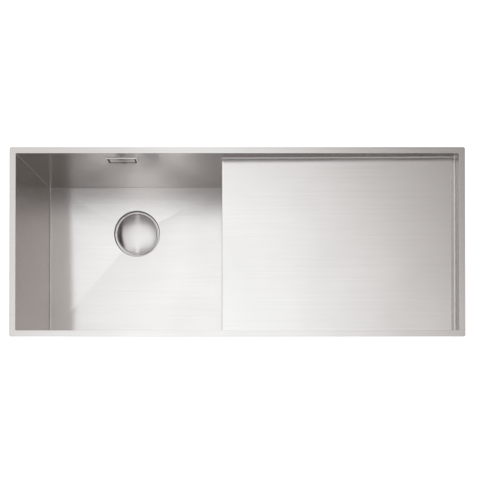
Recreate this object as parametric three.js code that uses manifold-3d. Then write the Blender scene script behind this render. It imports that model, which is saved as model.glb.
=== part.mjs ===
// An inset kitchen sink in stainless-steel sheet: one square-cornered bowl on the left, one shallow
// drainboard on the right, its basket strainer with a cover, its overflow, and the clips that hold it
// in a worktop.
//
// Millimetres, +Z up. The origin is the centre of the worktop's cut-out, at the worktop's top surface.
// +X runs along the sink from the bowl to the drainboard, and +Y runs to the back.
import * as THREE from "three";
import { ConvexGeometry } from "three/addons/geometries/ConvexGeometry.js";
import { mergeVertices } from "three/addons/utils/BufferGeometryUtils.js";
import Module from "manifold-3d";

// ---------------------------------------------------------------- driving dimensions

// Sheet steel and rim.
const SHEET = 1.2;
const OPENING_LENGTH = 1000;
const OPENING_DEPTH = 400;
const RIM_WIDTH = 14;
const RIM_CORNER_RADIUS = 4;
const CORNER_RADIUS = 2;

// The worktop's cut-out lies this far outside the clear opening, and the seal lies on what the rim covers.
const CUTOUT_MARGIN = 9.5;
const SEAL_THICKNESS = 2;
const SEAL_INSET = 0.5;

// Bowl: clear width, depth from the rim's top to the floor's edge, and the floor's fall to the drain.
const BOWL_WIDTH = 465;
const BOWL_DEPTH = 195;
const FLOOR_FALL = 9;
const FLOOR_BEND_RADIUS = 3;
const DRAIN_TO_BACK = 121.7;

// Drainboard: depth from the rim's top at its right end, fall to the bowl, and the bend into the bowl.
const DRAINER_DEPTH = 18.6;
const DRAINER_FALL = 4.4;
const DRAINER_BEND_RADIUS = 2;
const NOSE_RADIUS = 2.5;
const NOSE_LIP = 6;

// Pressed recess round the drain and the hole in it.
const RECESS_DIAMETER = 124;
const RECESS_DRAFT = 2;
const RECESS_DEPTH = 3;
const DRAIN_HOLE_DIAMETER = 90;

// Strainer flange and its cup.
const FLANGE_DIAMETER = 114;
const FLANGE_SHEET = 1;
const RING_WIDTH = 3.6;
const RING_HEIGHT = 3.1;
const CUP_DIAMETER = 83;
const CUP_DEPTH = 46;
const CUP_SHOULDER = 5;
const CUP_OUTLET_DIAMETER = 44;
const CROSSBAR_WIDTH = 3.5;
const CROSSBAR_HEIGHT = 2;
const CROSSBAR_BOSS_DIAMETER = 14;
const FLANGE_SEAL_THICKNESS = 1.5;
const FLOOR_SEAL_THICKNESS = 3;
const SEAL_RING_WIDTH = 9;

// Cover over the strainer.
const COVER_DIAMETER = 105;
const COVER_SHEET = 1;
const COVER_RISE = 1.6;
const COVER_SKIRT = 1.6;
const COVER_FOOT_HEIGHT = 1.4;
const COVER_FOOT_DIAMETER = 5;
const COVER_FEET = 4;

// Basket, its knob, its stopper and the stopper's screw.
const BASKET_SHEET = 0.8;
const BASKET_TOP_GAP = 6;
const BASKET_BOTTOM_DIAMETER = 50;
const BASKET_RIM = 2;
const BASKET_SLOTS = 16;
const BASKET_SLOT_ROWS = 2;
const BASKET_SLOT_WIDTH = 5;
const BASKET_SLOT_HEIGHT = 8;
const BASKET_FLOOR_HOLES = 8;
const BASKET_FLOOR_HOLE_DIAMETER = 5;
const STOPPER_THICKNESS = 6.7;
const STOPPER_LIP = 5;
const STOPPER_HOLLOW = 3.5;
const KNOB_DIAMETER = 19;
const KNOB_STEM_DIAMETER = 8;
const KNOB_FOOT_DIAMETER = 12;
const KNOB_CROWN_DIAMETER = 15;
const KNOB_HEAD_HEIGHT = 8;
const KNOB_TOP_GAP = 3.5;
const STOPPER_SCREW_DIAMETER = 4;
const STOPPER_SCREW_LENGTH = 12;

// How wide the crown of a screw's head is, as a share of the head, and how wide its slot is.
const SCREW_CROWN_SHARE = 0.7;
const SCREW_SLOT_WIDTH = 1;

// Waste body under the floor, its outlet and the screw through it.
const BODY_WALL = 3;
const BODY_GAP = 2.5;
const BODY_FLANGE_WIDTH = 9;
const BODY_FLANGE_THICKNESS = 4;
const BODY_CHAMBER_DEPTH = 46;
const BODY_CONE_HEIGHT = 13;
const OUTLET_THREAD_DIAMETER = 47.8;
const OUTLET_WALL = 3.4;
const OUTLET_LENGTH = 32;
const WASTE_SCREW_DIAMETER = 6;
const WASTE_SCREW_LENGTH = 22;
const BODY_RIB = 3;

// Overflow in the bowl's back wall.
const OVERFLOW_DEPTH = 35.5;
const BEZEL_LENGTH = 75;
const BEZEL_HEIGHT = 27;
const BEZEL_THICKNESS = 1.6;
const BEZEL_BEVEL = 1;
const MOUTH_LENGTH = 66;
const MOUTH_HEIGHT = 22;
const COLLAR_WALL = 1;
const COLLAR_DEPTH = 4;
const PLATE_LENGTH = 59;
const PLATE_HEIGHT = 16;
const PLATE_THICKNESS = 1.5;
const PLATE_RECESS = 0.4;
const POST_DIAMETER = 10;
const OVERFLOW_SEAL_THICKNESS = 2;
const HOUSING_WALL = 2.5;
const HOUSING_FLANGE = 5;
const HOUSING_DEPTH = 21;
const HOUSING_SPIGOT_RISE = 9;
const OVERFLOW_SCREW_DIAMETER = 4;
const OVERFLOW_SCREW_LENGTH = 16;

// Overflow hose with its spigots and coupling nuts.
const HOSE_DIAMETER = 25;
const HOSE_BORE = 15;
const HOSE_ROOT_DEPTH = 1.6;
const HOSE_RIB_PITCH = 5;
const SPIGOT_WALL = 3;
const SPIGOT_LENGTH = 15;
const NUT_WALL = 3.2;
const NUT_LENGTH = 16;
const NUT_GRIPS = 8;
const NUT_GRIP_HEIGHT = 1.2;
const NUT_TO_WALL = 1.8;

// Fixing clips: places along the sink, as shares of the opening, and one clip's own sizes.
const CLIP_SHARES = { left: -0.42, middle: 0.06, right: 0.43 };
const CLIP_SHEET = 1.2;
const CLIP_WIDTH = 20;
const CLIP_TOP = 4;
const CLIP_SHELF_DROP = 24;
const CLIP_SCREW_DIAMETER = 4;
const CLIP_SCREW_OFFSET = 4.4;
const CLIP_TRAVEL = 20;
const CLIP_HEAD_HEIGHT = 3;
const CLIP_ARM_LENGTH = 30;
const CLIP_ARM_WIDTH = 6.8;
const CLIP_ARM_HEIGHT = 5;
const CLIP_TOE = 2;
const CLIP_STUB = 1;

// Stiffening channels and sound-deadening pads.
const CHANNEL_PLACES = [60, 232, 405];
const CHANNEL_LENGTH = 330;
const CHANNEL_WEB = 26;
const CHANNEL_FOOT = 13;
const CHANNEL_HEIGHT = 11;
const CHANNEL_SHEET = 1;
const PAD_THICKNESS = 2.5;
const WALL_PAD_LENGTH = 260;
const WALL_PAD_HEIGHT = 110;
const FRONT_PAD_WIDTH = 100;
const SIDE_PAD_WIDTH = 72;
const FLOOR_PAD_MARGIN = 22;
const CREASE_MARGIN = 12;
const DRAINER_PAD_LENGTH = 110;
const DRAINER_PAD_WIDTH = 240;

// Earth tag under the drainboard, on the bowl's right wall.
const TAG_WIDTH = 16;
const TAG_HEIGHT = 22;
const TAG_REACH = 14;
const TAG_SHEET = 1.5;
const TAG_HOLE_DIAMETER = 6.3;
const TAG_DROP = 60;

// Clearances: between pieces that touch across turned or moved frames, and between a screw and its hole.
const SEAT_GAP = 0.05;
const RUNNING_GAP = 0.3;
const BASKET_CLEARANCE = 0.6;

// Facets: steps round a full circle, and along a quarter bend or a dome.
const ROUND_STEPS = 40;
const SMALL_ROUND_STEPS = 16;
const HOLE_STEPS = 8;
const HEXAGON_SIDES = 6;
const HOSE_SIDES = 8;
const BEND_STEPS = 4;

// ---------------------------------------------------------------- levels and places worked out from them

const RIM_UNDER_Z = SEAL_THICKNESS;
const RIM_TOP_Z = RIM_UNDER_Z + SHEET;
const LEFT_X = -OPENING_LENGTH / 2;
const RIGHT_X = OPENING_LENGTH / 2;
const DIVIDE_X = LEFT_X + BOWL_WIDTH;
const BACK_Y = OPENING_DEPTH / 2;
const FRONT_Y = -OPENING_DEPTH / 2;
const FLOOR_EDGE_Z = RIM_TOP_Z - BOWL_DEPTH;
const WALL_BOTTOM_Z = FLOOR_EDGE_Z + FLOOR_BEND_RADIUS;
const DRAIN_X = (LEFT_X + DIVIDE_X) / 2;
const DRAIN_Y = BACK_Y - DRAIN_TO_BACK;
const APEX_Z = FLOOR_EDGE_Z - FLOOR_FALL;
const RECESS_Z = APEX_Z - RECESS_DEPTH;
const DRAINER_HIGH_Z = RIM_TOP_Z - DRAINER_DEPTH;
const DRAINER_LOW_Z = DRAINER_HIGH_Z - DRAINER_FALL;
const DRAINER_SLOPE = DRAINER_FALL / (RIGHT_X - DIVIDE_X);
const LIP_BOTTOM_Z = DRAINER_LOW_Z - NOSE_LIP;
const OVERFLOW_Z = RIM_TOP_Z - OVERFLOW_DEPTH;
const CUT_THROUGH = 1;

// ---------------------------------------------------------------- materials

function finish(color, roughness, metalness) {
  return new THREE.MeshStandardMaterial({ color, roughness, metalness });
}

const brushedSteel = finish(0xcfcac6, 0.32, 1);
const polishedSteel = finish(0xd9d5d2, 0.14, 1);
const zincSteel = finish(0xb9bcc0, 0.45, 1);
const blackRubber = finish(0x1d1d1f, 0.85, 0);
const padRubber = finish(0x8c8b88, 0.9, 0);
const whitePlastic = finish(0xe9e8e4, 0.5, 0);
const greyPlastic = finish(0xb5b6b5, 0.5, 0);

// ---------------------------------------------------------------- solids

const wasm = await Module();
wasm.setup();
const MERGE_TOLERANCE = 1e-4;

// A closed three.js geometry as a solid that can be joined and cut.
function solid(geometry) {
  geometry.deleteAttribute("normal");
  geometry.deleteAttribute("uv");
  const merged = mergeVertices(geometry, MERGE_TOLERANCE);
  const corners = merged.index.array;
  const kept = [];
  for (let i = 0; i < corners.length; i += 3) {
    const [a, b, c] = [corners[i], corners[i + 1], corners[i + 2]];
    const hasArea = a !== b && b !== c && c !== a;
    if (hasArea) kept.push(a, b, c);
  }
  return new wasm.Manifold(
    new wasm.Mesh({
      numProp: 3,
      vertProperties: merged.attributes.position.array,
      triVerts: new Uint32Array(kept),
    }),
  );
}

function joined(first, ...others) {
  return others.reduce((whole, other) => whole.add(other), first);
}

function cut(base, ...tools) {
  return tools.reduce((left, tool) => left.subtract(tool), base);
}

function meshOf(name, body, material) {
  const { vertProperties, triVerts } = body.getMesh();
  const geometry = new THREE.BufferGeometry()
    .setAttribute("position", new THREE.BufferAttribute(new Float32Array(vertProperties), 3))
    .setIndex(new THREE.BufferAttribute(new Uint32Array(triVerts), 1));
  geometry.computeVertexNormals();
  const mesh = new THREE.Mesh(geometry, material);
  mesh.name = name;
  return mesh;
}

// A box between two values along each axis.
function block([lowX, highX], [lowY, highY], [lowZ, highZ]) {
  const geometry = new THREE.BoxGeometry(1, 1, 1);
  const position = geometry.getAttribute("position");
  for (let i = 0; i < position.count; i += 1) {
    position.setXYZ(
      i,
      position.getX(i) < 0 ? lowX : highX,
      position.getY(i) < 0 ? lowY : highY,
      position.getZ(i) < 0 ? lowZ : highZ,
    );
  }
  return solid(geometry);
}

// An outline in X and Y, extruded between two heights.
function prism(outline, [low, high], curveSegments = BEND_STEPS) {
  const geometry = new THREE.ExtrudeGeometry(outline, { depth: 1, bevelEnabled: false, curveSegments });
  const position = geometry.getAttribute("position");
  for (let i = 0; i < position.count; i += 1) {
    position.setZ(i, position.getZ(i) > 0.5 ? high : low);
  }
  return solid(geometry);
}

// An outline in X and Z, extruded along Y.
function barAlongY(outline, [low, high], curveSegments = BEND_STEPS) {
  return prism(outline, [-high, -low], curveSegments).rotate([90, 0, 0]);
}

// An outline in Y and Z, extruded along X.
function barAlongX(outline, [low, high], curveSegments = BEND_STEPS) {
  return prism(outline, [low, high], curveSegments).rotate([90, 0, 90]);
}

// A rectangle with round corners, as an outline.
function roundedRectangle([lowX, highX], [lowY, highY], radius) {
  const shape = new THREE.Shape();
  shape.absarc(highX - radius, highY - radius, radius, 0, Math.PI / 2);
  shape.absarc(lowX + radius, highY - radius, radius, Math.PI / 2, Math.PI);
  shape.absarc(lowX + radius, lowY + radius, radius, Math.PI, 1.5 * Math.PI);
  shape.absarc(highX - radius, lowY + radius, radius, 1.5 * Math.PI, 2 * Math.PI);
  return shape;
}

function polygon(points) {
  return new THREE.Shape(points.map(([x, y]) => new THREE.Vector2(x, y)));
}

// A profile of [radius, height] points, turned round the Z axis.
function turned(profile, steps = ROUND_STEPS) {
  const points = profile.map(([radius, height]) => new THREE.Vector2(radius, height));
  if (THREE.ShapeUtils.area(points) < 0) points.reverse();
  points.push(points[0].clone());
  const geometry = new THREE.LatheGeometry(points, steps);
  geometry.rotateX(Math.PI / 2);
  return solid(geometry);
}

// A plain round bar or disc, standing on Z.
function rod(radius, [low, high], steps = SMALL_ROUND_STEPS) {
  return turned([[0, low], [radius, low], [radius, high], [0, high]], steps);
}

// A ring of rectangular section.
function ring(innerRadius, outerRadius, [low, high], steps = ROUND_STEPS) {
  return turned([[innerRadius, low], [outerRadius, low], [outerRadius, high], [innerRadius, high]], steps);
}

// Points on a quarter bend, as [run, drop] shares of its radius, from the wall to the floor.
function quarterBend() {
  return Array.from({ length: BEND_STEPS + 1 }, (_, step) => {
    const angle = (step / BEND_STEPS) * (Math.PI / 2);
    return [Math.cos(angle), Math.sin(angle)];
  });
}

// The corner points of a level rectangle with round corners.
function ringPoints([lowX, highX], [lowY, highY], radius, heightAt) {
  return roundedRectangle([lowX, highX], [lowY, highY], Math.max(radius, MERGE_TOLERANCE))
    .getPoints(BEND_STEPS)
    .map(({ x, y }) => new THREE.Vector3(x, y, heightAt(x)));
}

// ---------------------------------------------------------------- rim, bowl and drainboard

function rimFrame() {
  const reachX = OPENING_LENGTH / 2 + RIM_WIDTH;
  const reachY = OPENING_DEPTH / 2 + RIM_WIDTH;
  const plate = roundedRectangle([-reachX, reachX], [-reachY, reachY], RIM_CORNER_RADIUS);
  const opening = roundedRectangle([LEFT_X, RIGHT_X], [FRONT_Y, BACK_Y], CORNER_RADIUS);
  return cut(
    prism(plate, [RIM_UNDER_Z, RIM_TOP_Z]),
    prism(opening, [RIM_UNDER_Z - CUT_THROUGH, RIM_TOP_Z + CUT_THROUGH]),
  );
}

// The strip lies on what the rim covers outside the worktop's cut-out.
function rimSeal() {
  const outerX = OPENING_LENGTH / 2 + RIM_WIDTH - SEAL_INSET;
  const outerY = OPENING_DEPTH / 2 + RIM_WIDTH - SEAL_INSET;
  const innerX = OPENING_LENGTH / 2 + CUTOUT_MARGIN;
  const innerY = OPENING_DEPTH / 2 + CUTOUT_MARGIN;
  const outside = roundedRectangle([-outerX, outerX], [-outerY, outerY], RIM_CORNER_RADIUS - SEAL_INSET);
  const inside = roundedRectangle([-innerX, innerX], [-innerY, innerY], CORNER_RADIUS);
  return cut(prism(outside, [0, RIM_UNDER_Z]), prism(inside, [-CUT_THROUGH, RIM_UNDER_Z + CUT_THROUGH]));
}

// Four walls in one wrap. Above the drainboard's lip the right side is open, with square ends.
function bowlWalls() {
  const outside = roundedRectangle(
    [LEFT_X - SHEET, DIVIDE_X + SHEET],
    [FRONT_Y - SHEET, BACK_Y + SHEET],
    CORNER_RADIUS + SHEET,
  );
  const inside = roundedRectangle([LEFT_X, DIVIDE_X], [FRONT_Y, BACK_Y], CORNER_RADIUS);
  const aboveLip = [LIP_BOTTOM_Z, RIM_UNDER_Z + CUT_THROUGH];
  const squareEnds = [DIVIDE_X - CORNER_RADIUS - SHEET, DIVIDE_X];
  const rightSide = [DIVIDE_X, DIVIDE_X + 2 * SHEET];
  const mouth = roundedRectangle(
    [-MOUTH_LENGTH / 2 - COLLAR_WALL - RUNNING_GAP, MOUTH_LENGTH / 2 + COLLAR_WALL + RUNNING_GAP],
    [-MOUTH_HEIGHT / 2 - COLLAR_WALL - RUNNING_GAP, MOUTH_HEIGHT / 2 + COLLAR_WALL + RUNNING_GAP],
    CORNER_RADIUS,
  );
  const mouthDepth = [BACK_Y - SHEET, BACK_Y + 2 * SHEET];
  return cut(
    prism(outside, [WALL_BOTTOM_Z, RIM_UNDER_Z]),
    prism(inside, [WALL_BOTTOM_Z - CUT_THROUGH, RIM_UNDER_Z + CUT_THROUGH]),
    block(squareEnds, [FRONT_Y, BACK_Y], aboveLip),
    block(rightSide, [FRONT_Y - 2 * SHEET, BACK_Y + 2 * SHEET], aboveLip),
    barAlongY(mouth, mouthDepth).translate([DRAIN_X, 0, OVERFLOW_Z]),
  );
}

// The floor's upper surface: four flat facets that meet at the drain.
function floorHeight(x, y) {
  const inset = FLOOR_BEND_RADIUS;
  const shares = [
    (x - LEFT_X - inset) / (DRAIN_X - LEFT_X - inset),
    (DIVIDE_X - inset - x) / (DIVIDE_X - inset - DRAIN_X),
    (y - FRONT_Y - inset) / (DRAIN_Y - FRONT_Y - inset),
    (BACK_Y - inset - y) / (BACK_Y - inset - DRAIN_Y),
  ];
  return FLOOR_EDGE_Z - FLOOR_FALL * Math.min(...shares);
}

// The space inside the floor pan, or, grown by the sheet, its outside. Its facets meet at the drain.
function floorPanForm(growth, topZ) {
  const bend = FLOOR_BEND_RADIUS + growth;
  const rings = quarterBend().flatMap(([run, drop]) => {
    const inset = FLOOR_BEND_RADIUS - bend * run;
    return ringPoints(
      [LEFT_X + inset, DIVIDE_X - inset],
      [FRONT_Y + inset, BACK_Y - inset],
      CORNER_RADIUS - inset,
      () => WALL_BOTTOM_Z - bend * drop,
    );
  });
  const top = ringPoints(
    [LEFT_X - growth, DIVIDE_X + growth],
    [FRONT_Y - growth, BACK_Y + growth],
    CORNER_RADIUS + growth,
    () => topZ,
  );
  const apex = new THREE.Vector3(DRAIN_X, DRAIN_Y, APEX_Z - growth);
  return solid(new ConvexGeometry([...rings, ...top, apex]));
}

function bowlFloor() {
  const recessRadius = RECESS_DIAMETER / 2;
  const recess = (growth, topZ) =>
    turned([
      [0, RECESS_Z - growth],
      [recessRadius - RECESS_DRAFT + growth / 2, RECESS_Z - growth],
      [recessRadius + growth, APEX_Z],
      [recessRadius + growth, topZ],
      [0, topZ],
    ]).translate([DRAIN_X, DRAIN_Y, 0]);
  const hole = rod(DRAIN_HOLE_DIAMETER / 2, [RECESS_Z - 2 * SHEET, RECESS_Z + SHEET], ROUND_STEPS);
  return cut(
    joined(floorPanForm(SHEET, WALL_BOTTOM_Z), recess(SHEET, FLOOR_EDGE_Z - SHEET)),
    floorPanForm(0, WALL_BOTTOM_Z + CUT_THROUGH),
    recess(0, FLOOR_EDGE_Z),
    hole.translate([DRAIN_X, DRAIN_Y, 0]),
  );
}

function drainerHeight(x) {
  return DRAINER_LOW_Z + (x - DIVIDE_X) * DRAINER_SLOPE;
}

// The space inside the tray, or, grown by the sheet, its outside. It runs out to the left at leftX.
function trayForm(growth, leftX, topZ) {
  const bend = DRAINER_BEND_RADIUS + growth;
  const bendRings = quarterBend().flatMap(([run, drop]) => {
    const inset = DRAINER_BEND_RADIUS - bend * run;
    return ringPoints(
      [leftX, RIGHT_X - inset],
      [FRONT_Y + inset, BACK_Y - inset],
      CORNER_RADIUS - inset,
      (x) => drainerHeight(x) + DRAINER_BEND_RADIUS - bend * drop,
    );
  });
  const top = ringPoints(
    [leftX, RIGHT_X + growth],
    [FRONT_Y - growth, BACK_Y + growth],
    CORNER_RADIUS + growth,
    () => topZ,
  );
  return solid(new ConvexGeometry([...bendRings, ...top]));
}

// The bent edge that takes the drainboard's panel down into the bowl's right wall.
function drainerNose() {
  const joinX = DIVIDE_X + NOSE_RADIUS + SHEET;
  const profile = new THREE.Shape();
  profile.moveTo(DIVIDE_X, LIP_BOTTOM_Z);
  profile.lineTo(DIVIDE_X + SHEET, LIP_BOTTOM_Z);
  profile.lineTo(DIVIDE_X + SHEET, DRAINER_LOW_Z - NOSE_RADIUS);
  const centre = [DIVIDE_X + NOSE_RADIUS, DRAINER_LOW_Z - NOSE_RADIUS];
  profile.absarc(...centre, NOSE_RADIUS - SHEET, Math.PI, Math.PI / 2, true);
  profile.lineTo(joinX, drainerHeight(joinX) - SHEET);
  profile.lineTo(joinX, drainerHeight(joinX));
  profile.lineTo(DIVIDE_X + NOSE_RADIUS, DRAINER_LOW_Z);
  profile.absarc(...centre, NOSE_RADIUS, Math.PI / 2, Math.PI, false);
  return barAlongY(profile, [FRONT_Y - SHEET, BACK_Y + SHEET]);
}

function drainerTray() {
  const overRun = 4 * SHEET;
  const pressing = cut(
    trayForm(SHEET, DIVIDE_X - overRun, RIM_UNDER_Z),
    trayForm(0, DIVIDE_X - 2 * overRun, RIM_UNDER_Z + CUT_THROUGH),
    block(
      [DIVIDE_X - 3 * overRun, DIVIDE_X],
      [FRONT_Y - overRun, BACK_Y + overRun],
      [LIP_BOTTOM_Z, RIM_UNDER_Z + CUT_THROUGH],
    ),
    block(
      [DIVIDE_X - overRun, DIVIDE_X + NOSE_RADIUS],
      [FRONT_Y - overRun, BACK_Y + overRun],
      [LIP_BOTTOM_Z - SHEET, DRAINER_LOW_Z + MERGE_TOLERANCE],
    ),
  );
  return joined(pressing, drainerNose());
}

const sheetWork = new THREE.Group();
sheetWork.add(
  meshOf("rim_frame", rimFrame(), brushedSteel),
  meshOf("rim_seal", rimSeal(), blackRubber),
  meshOf("bowl_walls", bowlWalls(), brushedSteel),
  meshOf("bowl_floor", bowlFloor(), brushedSteel),
  meshOf("drainer_tray", drainerTray(), brushedSteel),
);

// ---------------------------------------------------------------- stiffeners, pads and earth tag

// A hat channel: two feet under the panel and a web below them.
function hatChannel() {
  const web = CHANNEL_WEB / 2;
  const foot = web + CHANNEL_FOOT;
  const half = [
    [foot, -CHANNEL_SHEET],
    [foot, 0],
    [web - CHANNEL_SHEET, 0],
    [web - CHANNEL_SHEET, CHANNEL_SHEET - CHANNEL_HEIGHT],
  ];
  const outer = [
    [web, -CHANNEL_HEIGHT],
    [web, -CHANNEL_SHEET],
  ];
  const mirrored = (points) => points.map(([x, z]) => [-x, z]).reverse();
  const outline = polygon([...outer, ...half, ...mirrored(half), ...mirrored(outer)]);
  return barAlongY(outline, [-CHANNEL_LENGTH / 2, CHANNEL_LENGTH / 2]);
}

// Under the drainboard's panel: local Z is zero on its underside, and the group leans with its fall.
function drainerUnderside() {
  const group = new THREE.Group();
  group.position.set(DIVIDE_X, 0, DRAINER_LOW_Z - SHEET - SEAT_GAP);
  group.rotation.y = -Math.atan(DRAINER_SLOPE);
  CHANNEL_PLACES.forEach((place, index) => {
    const channel = meshOf(`drainer_channel_${index + 1}`, hatChannel(), zincSteel);
    channel.position.x = place;
    group.add(channel);
  });
  const gaps = CHANNEL_PLACES.slice(1).map((place, index) => (place + CHANNEL_PLACES[index]) / 2);
  gaps.forEach((place, index) => {
    const across = [-DRAINER_PAD_WIDTH / 2, DRAINER_PAD_WIDTH / 2];
    const along = [-DRAINER_PAD_LENGTH / 2, DRAINER_PAD_LENGTH / 2];
    const outline = roundedRectangle(along, across, PAD_THICKNESS);
    const pad = meshOf(`pad_drainer_${index + 1}`, prism(outline, [-PAD_THICKNESS, 0]), padRubber);
    pad.position.x = place;
    group.add(pad);
  });
  return group;
}

// What a facet spans between its two creases, at a share of the way from its wall to the drain.
function betweenCreases(share, [low, high], drain) {
  return [low + (drain - low) * share + CREASE_MARGIN, high - (high - drain) * share - CREASE_MARGIN];
}

// A pad glued under one facet of the floor.
function floorPad([lowX, highX], [lowY, highY]) {
  const corners = [
    [lowX, lowY],
    [highX, lowY],
    [highX, highY],
    [lowX, highY],
  ];
  const levels = [0, -PAD_THICKNESS];
  const points = levels.flatMap((drop) =>
    corners.map(([x, y]) => new THREE.Vector3(x, y, floorHeight(x, y) - SHEET - SEAT_GAP + drop)),
  );
  return solid(new ConvexGeometry(points));
}

function bowlPads() {
  const wallY = [-WALL_PAD_LENGTH / 2, WALL_PAD_LENGTH / 2];
  const wallMiddle = (WALL_BOTTOM_Z + LIP_BOTTOM_Z) / 2;
  const wallZ = [wallMiddle - WALL_PAD_HEIGHT / 2, wallMiddle + WALL_PAD_HEIGHT / 2];
  const leftFace = LEFT_X - SHEET;
  const rightFace = DIVIDE_X + SHEET;
  const frontY = [FRONT_Y + FLOOR_PAD_MARGIN, FRONT_Y + FLOOR_PAD_MARGIN + FRONT_PAD_WIDTH];
  const leftX = [LEFT_X + FLOOR_PAD_MARGIN, LEFT_X + FLOOR_PAD_MARGIN + SIDE_PAD_WIDTH];
  const rightX = [DIVIDE_X - FLOOR_PAD_MARGIN - SIDE_PAD_WIDTH, DIVIDE_X - FLOOR_PAD_MARGIN];
  const frontX = betweenCreases((frontY[1] - FRONT_Y) / (DRAIN_Y - FRONT_Y), [LEFT_X, DIVIDE_X], DRAIN_X);
  const sideY = betweenCreases((leftX[1] - LEFT_X) / (DRAIN_X - LEFT_X), [FRONT_Y, BACK_Y], DRAIN_Y);
  return [
    meshOf("pad_wall_left", block([leftFace - PAD_THICKNESS, leftFace], wallY, wallZ), padRubber),
    meshOf("pad_wall_right", block([rightFace, rightFace + PAD_THICKNESS], wallY, wallZ), padRubber),
    meshOf("pad_floor_front", floorPad(frontX, frontY), padRubber),
    meshOf("pad_floor_left", floorPad(leftX, sideY), padRubber),
    meshOf("pad_floor_right", floorPad(rightX, sideY), padRubber),
  ];
}

// A bent tab with a hole, welded to the bowl's right wall behind the pad.
function earthTag() {
  const outline = polygon([
    [0, 0],
    [TAG_REACH, 0],
    [TAG_REACH, -TAG_SHEET],
    [TAG_SHEET, -TAG_SHEET],
    [TAG_SHEET, -TAG_HEIGHT],
    [0, -TAG_HEIGHT],
  ]);
  const tab = barAlongY(outline, [-TAG_WIDTH / 2, TAG_WIDTH / 2]);
  const holeX = (TAG_REACH + TAG_SHEET) / 2;
  const hole = rod(TAG_HOLE_DIAMETER / 2, [-2 * TAG_SHEET, TAG_SHEET]).translate([holeX, 0, 0]);
  return cut(tab, hole);
}

sheetWork.add(drainerUnderside(), ...bowlPads());
const tag = meshOf("earth_tag", earthTag(), zincSteel);
tag.position.set(
  DIVIDE_X + SHEET + SEAT_GAP,
  (WALL_PAD_LENGTH / 2 + BACK_Y) / 2,
  LIP_BOTTOM_Z - TAG_DROP,
);
sheetWork.add(tag);

// ---------------------------------------------------------------- strainer, in a frame on the recess floor

const FLANGE_UNDER = FLANGE_SEAL_THICKNESS;
const SEAT_TOP = FLANGE_UNDER + FLANGE_SHEET;
const RING_TOP = SEAT_TOP + RING_HEIGHT;
const CUP_INNER_RADIUS = CUP_DIAMETER / 2 - FLANGE_SHEET;
const CUP_FLOOR = SEAT_TOP - CUP_DEPTH;
const CROSSBAR_TOP = CUP_FLOOR - FLANGE_SHEET;
const CROSSBAR_UNDER = CROSSBAR_TOP - CROSSBAR_HEIGHT;
const WASTE_SCREW_HOLE = WASTE_SCREW_DIAMETER / 2 + RUNNING_GAP;

// Ring, seat and cup in one pressing, with a crossbar and a boss under the cup's outlet.
function strainerFlange() {
  const outer = FLANGE_DIAMETER / 2;
  const ringInner = outer - RING_WIDTH;
  const bevel = RING_WIDTH / 4;
  const cupOuter = CUP_DIAMETER / 2;
  const outlet = CUP_OUTLET_DIAMETER / 2;
  const pressing = turned([
    [outer, FLANGE_UNDER],
    [outer, RING_TOP - bevel],
    [outer - bevel, RING_TOP],
    [ringInner + bevel, RING_TOP],
    [ringInner, RING_TOP - bevel],
    [ringInner, SEAT_TOP],
    [CUP_INNER_RADIUS + FLANGE_SHEET, SEAT_TOP],
    [CUP_INNER_RADIUS, SEAT_TOP - FLANGE_SHEET],
    [CUP_INNER_RADIUS, CUP_FLOOR + CUP_SHOULDER],
    [CUP_INNER_RADIUS - CUP_SHOULDER, CUP_FLOOR],
    [outlet, CUP_FLOOR],
    [outlet, CUP_FLOOR - FLANGE_SHEET],
    [cupOuter - CUP_SHOULDER, CUP_FLOOR - FLANGE_SHEET],
    [cupOuter, CUP_FLOOR + CUP_SHOULDER - FLANGE_SHEET],
    [cupOuter, FLANGE_UNDER],
  ]);
  const reach = outlet + CROSSBAR_WIDTH / 2;
  const bars = [CROSSBAR_UNDER, CROSSBAR_TOP + FLANGE_SHEET / 2];
  const half = CROSSBAR_WIDTH / 2;
  const spider = joined(
    block([-reach, reach], [-half, half], bars),
    block([-half, half], [-reach, reach], bars),
    rod(CROSSBAR_BOSS_DIAMETER / 2, [CROSSBAR_UNDER, CROSSBAR_TOP]),
  );
  const head = [CROSSBAR_TOP, CUP_FLOOR + FLANGE_SHEET];
  return cut(
    joined(pressing, spider),
    rod(CROSSBAR_BOSS_DIAMETER / 2, head),
    rod(WASTE_SCREW_HOLE, [CROSSBAR_UNDER - CUT_THROUGH, CROSSBAR_TOP + CUT_THROUGH]),
  );
}

const SEAL_RING_INNER = DRAIN_HOLE_DIAMETER / 2 + CUT_THROUGH;
const SEAL_RING_OUTER = SEAL_RING_INNER + SEAL_RING_WIDTH;
const FLOOR_SEAL_UNDER = -SHEET - FLOOR_SEAL_THICKNESS;

function wasteScrew() {
  const headRadius = CROSSBAR_BOSS_DIAMETER / 2 - 2 * RUNNING_GAP;
  const headHeight = CROSSBAR_HEIGHT;
  const reach = [CROSSBAR_TOP - WASTE_SCREW_LENGTH, CROSSBAR_TOP + headHeight / 2];
  const shank = rod(WASTE_SCREW_DIAMETER / 2, reach);
  const head = turned(
    [
      [0, CROSSBAR_TOP],
      [headRadius, CROSSBAR_TOP],
      [headRadius, CROSSBAR_TOP + headHeight / 2],
      [headRadius * SCREW_CROWN_SHARE, CROSSBAR_TOP + headHeight],
      [0, CROSSBAR_TOP + headHeight],
    ],
    SMALL_ROUND_STEPS,
  );
  const slot = block(
    [-headRadius, headRadius],
    [-SCREW_SLOT_WIDTH / 2, SCREW_SLOT_WIDTH / 2],
    [CROSSBAR_TOP + headHeight / 2, CROSSBAR_TOP + 2 * headHeight],
  );
  return cut(joined(shank, head), slot);
}

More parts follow.
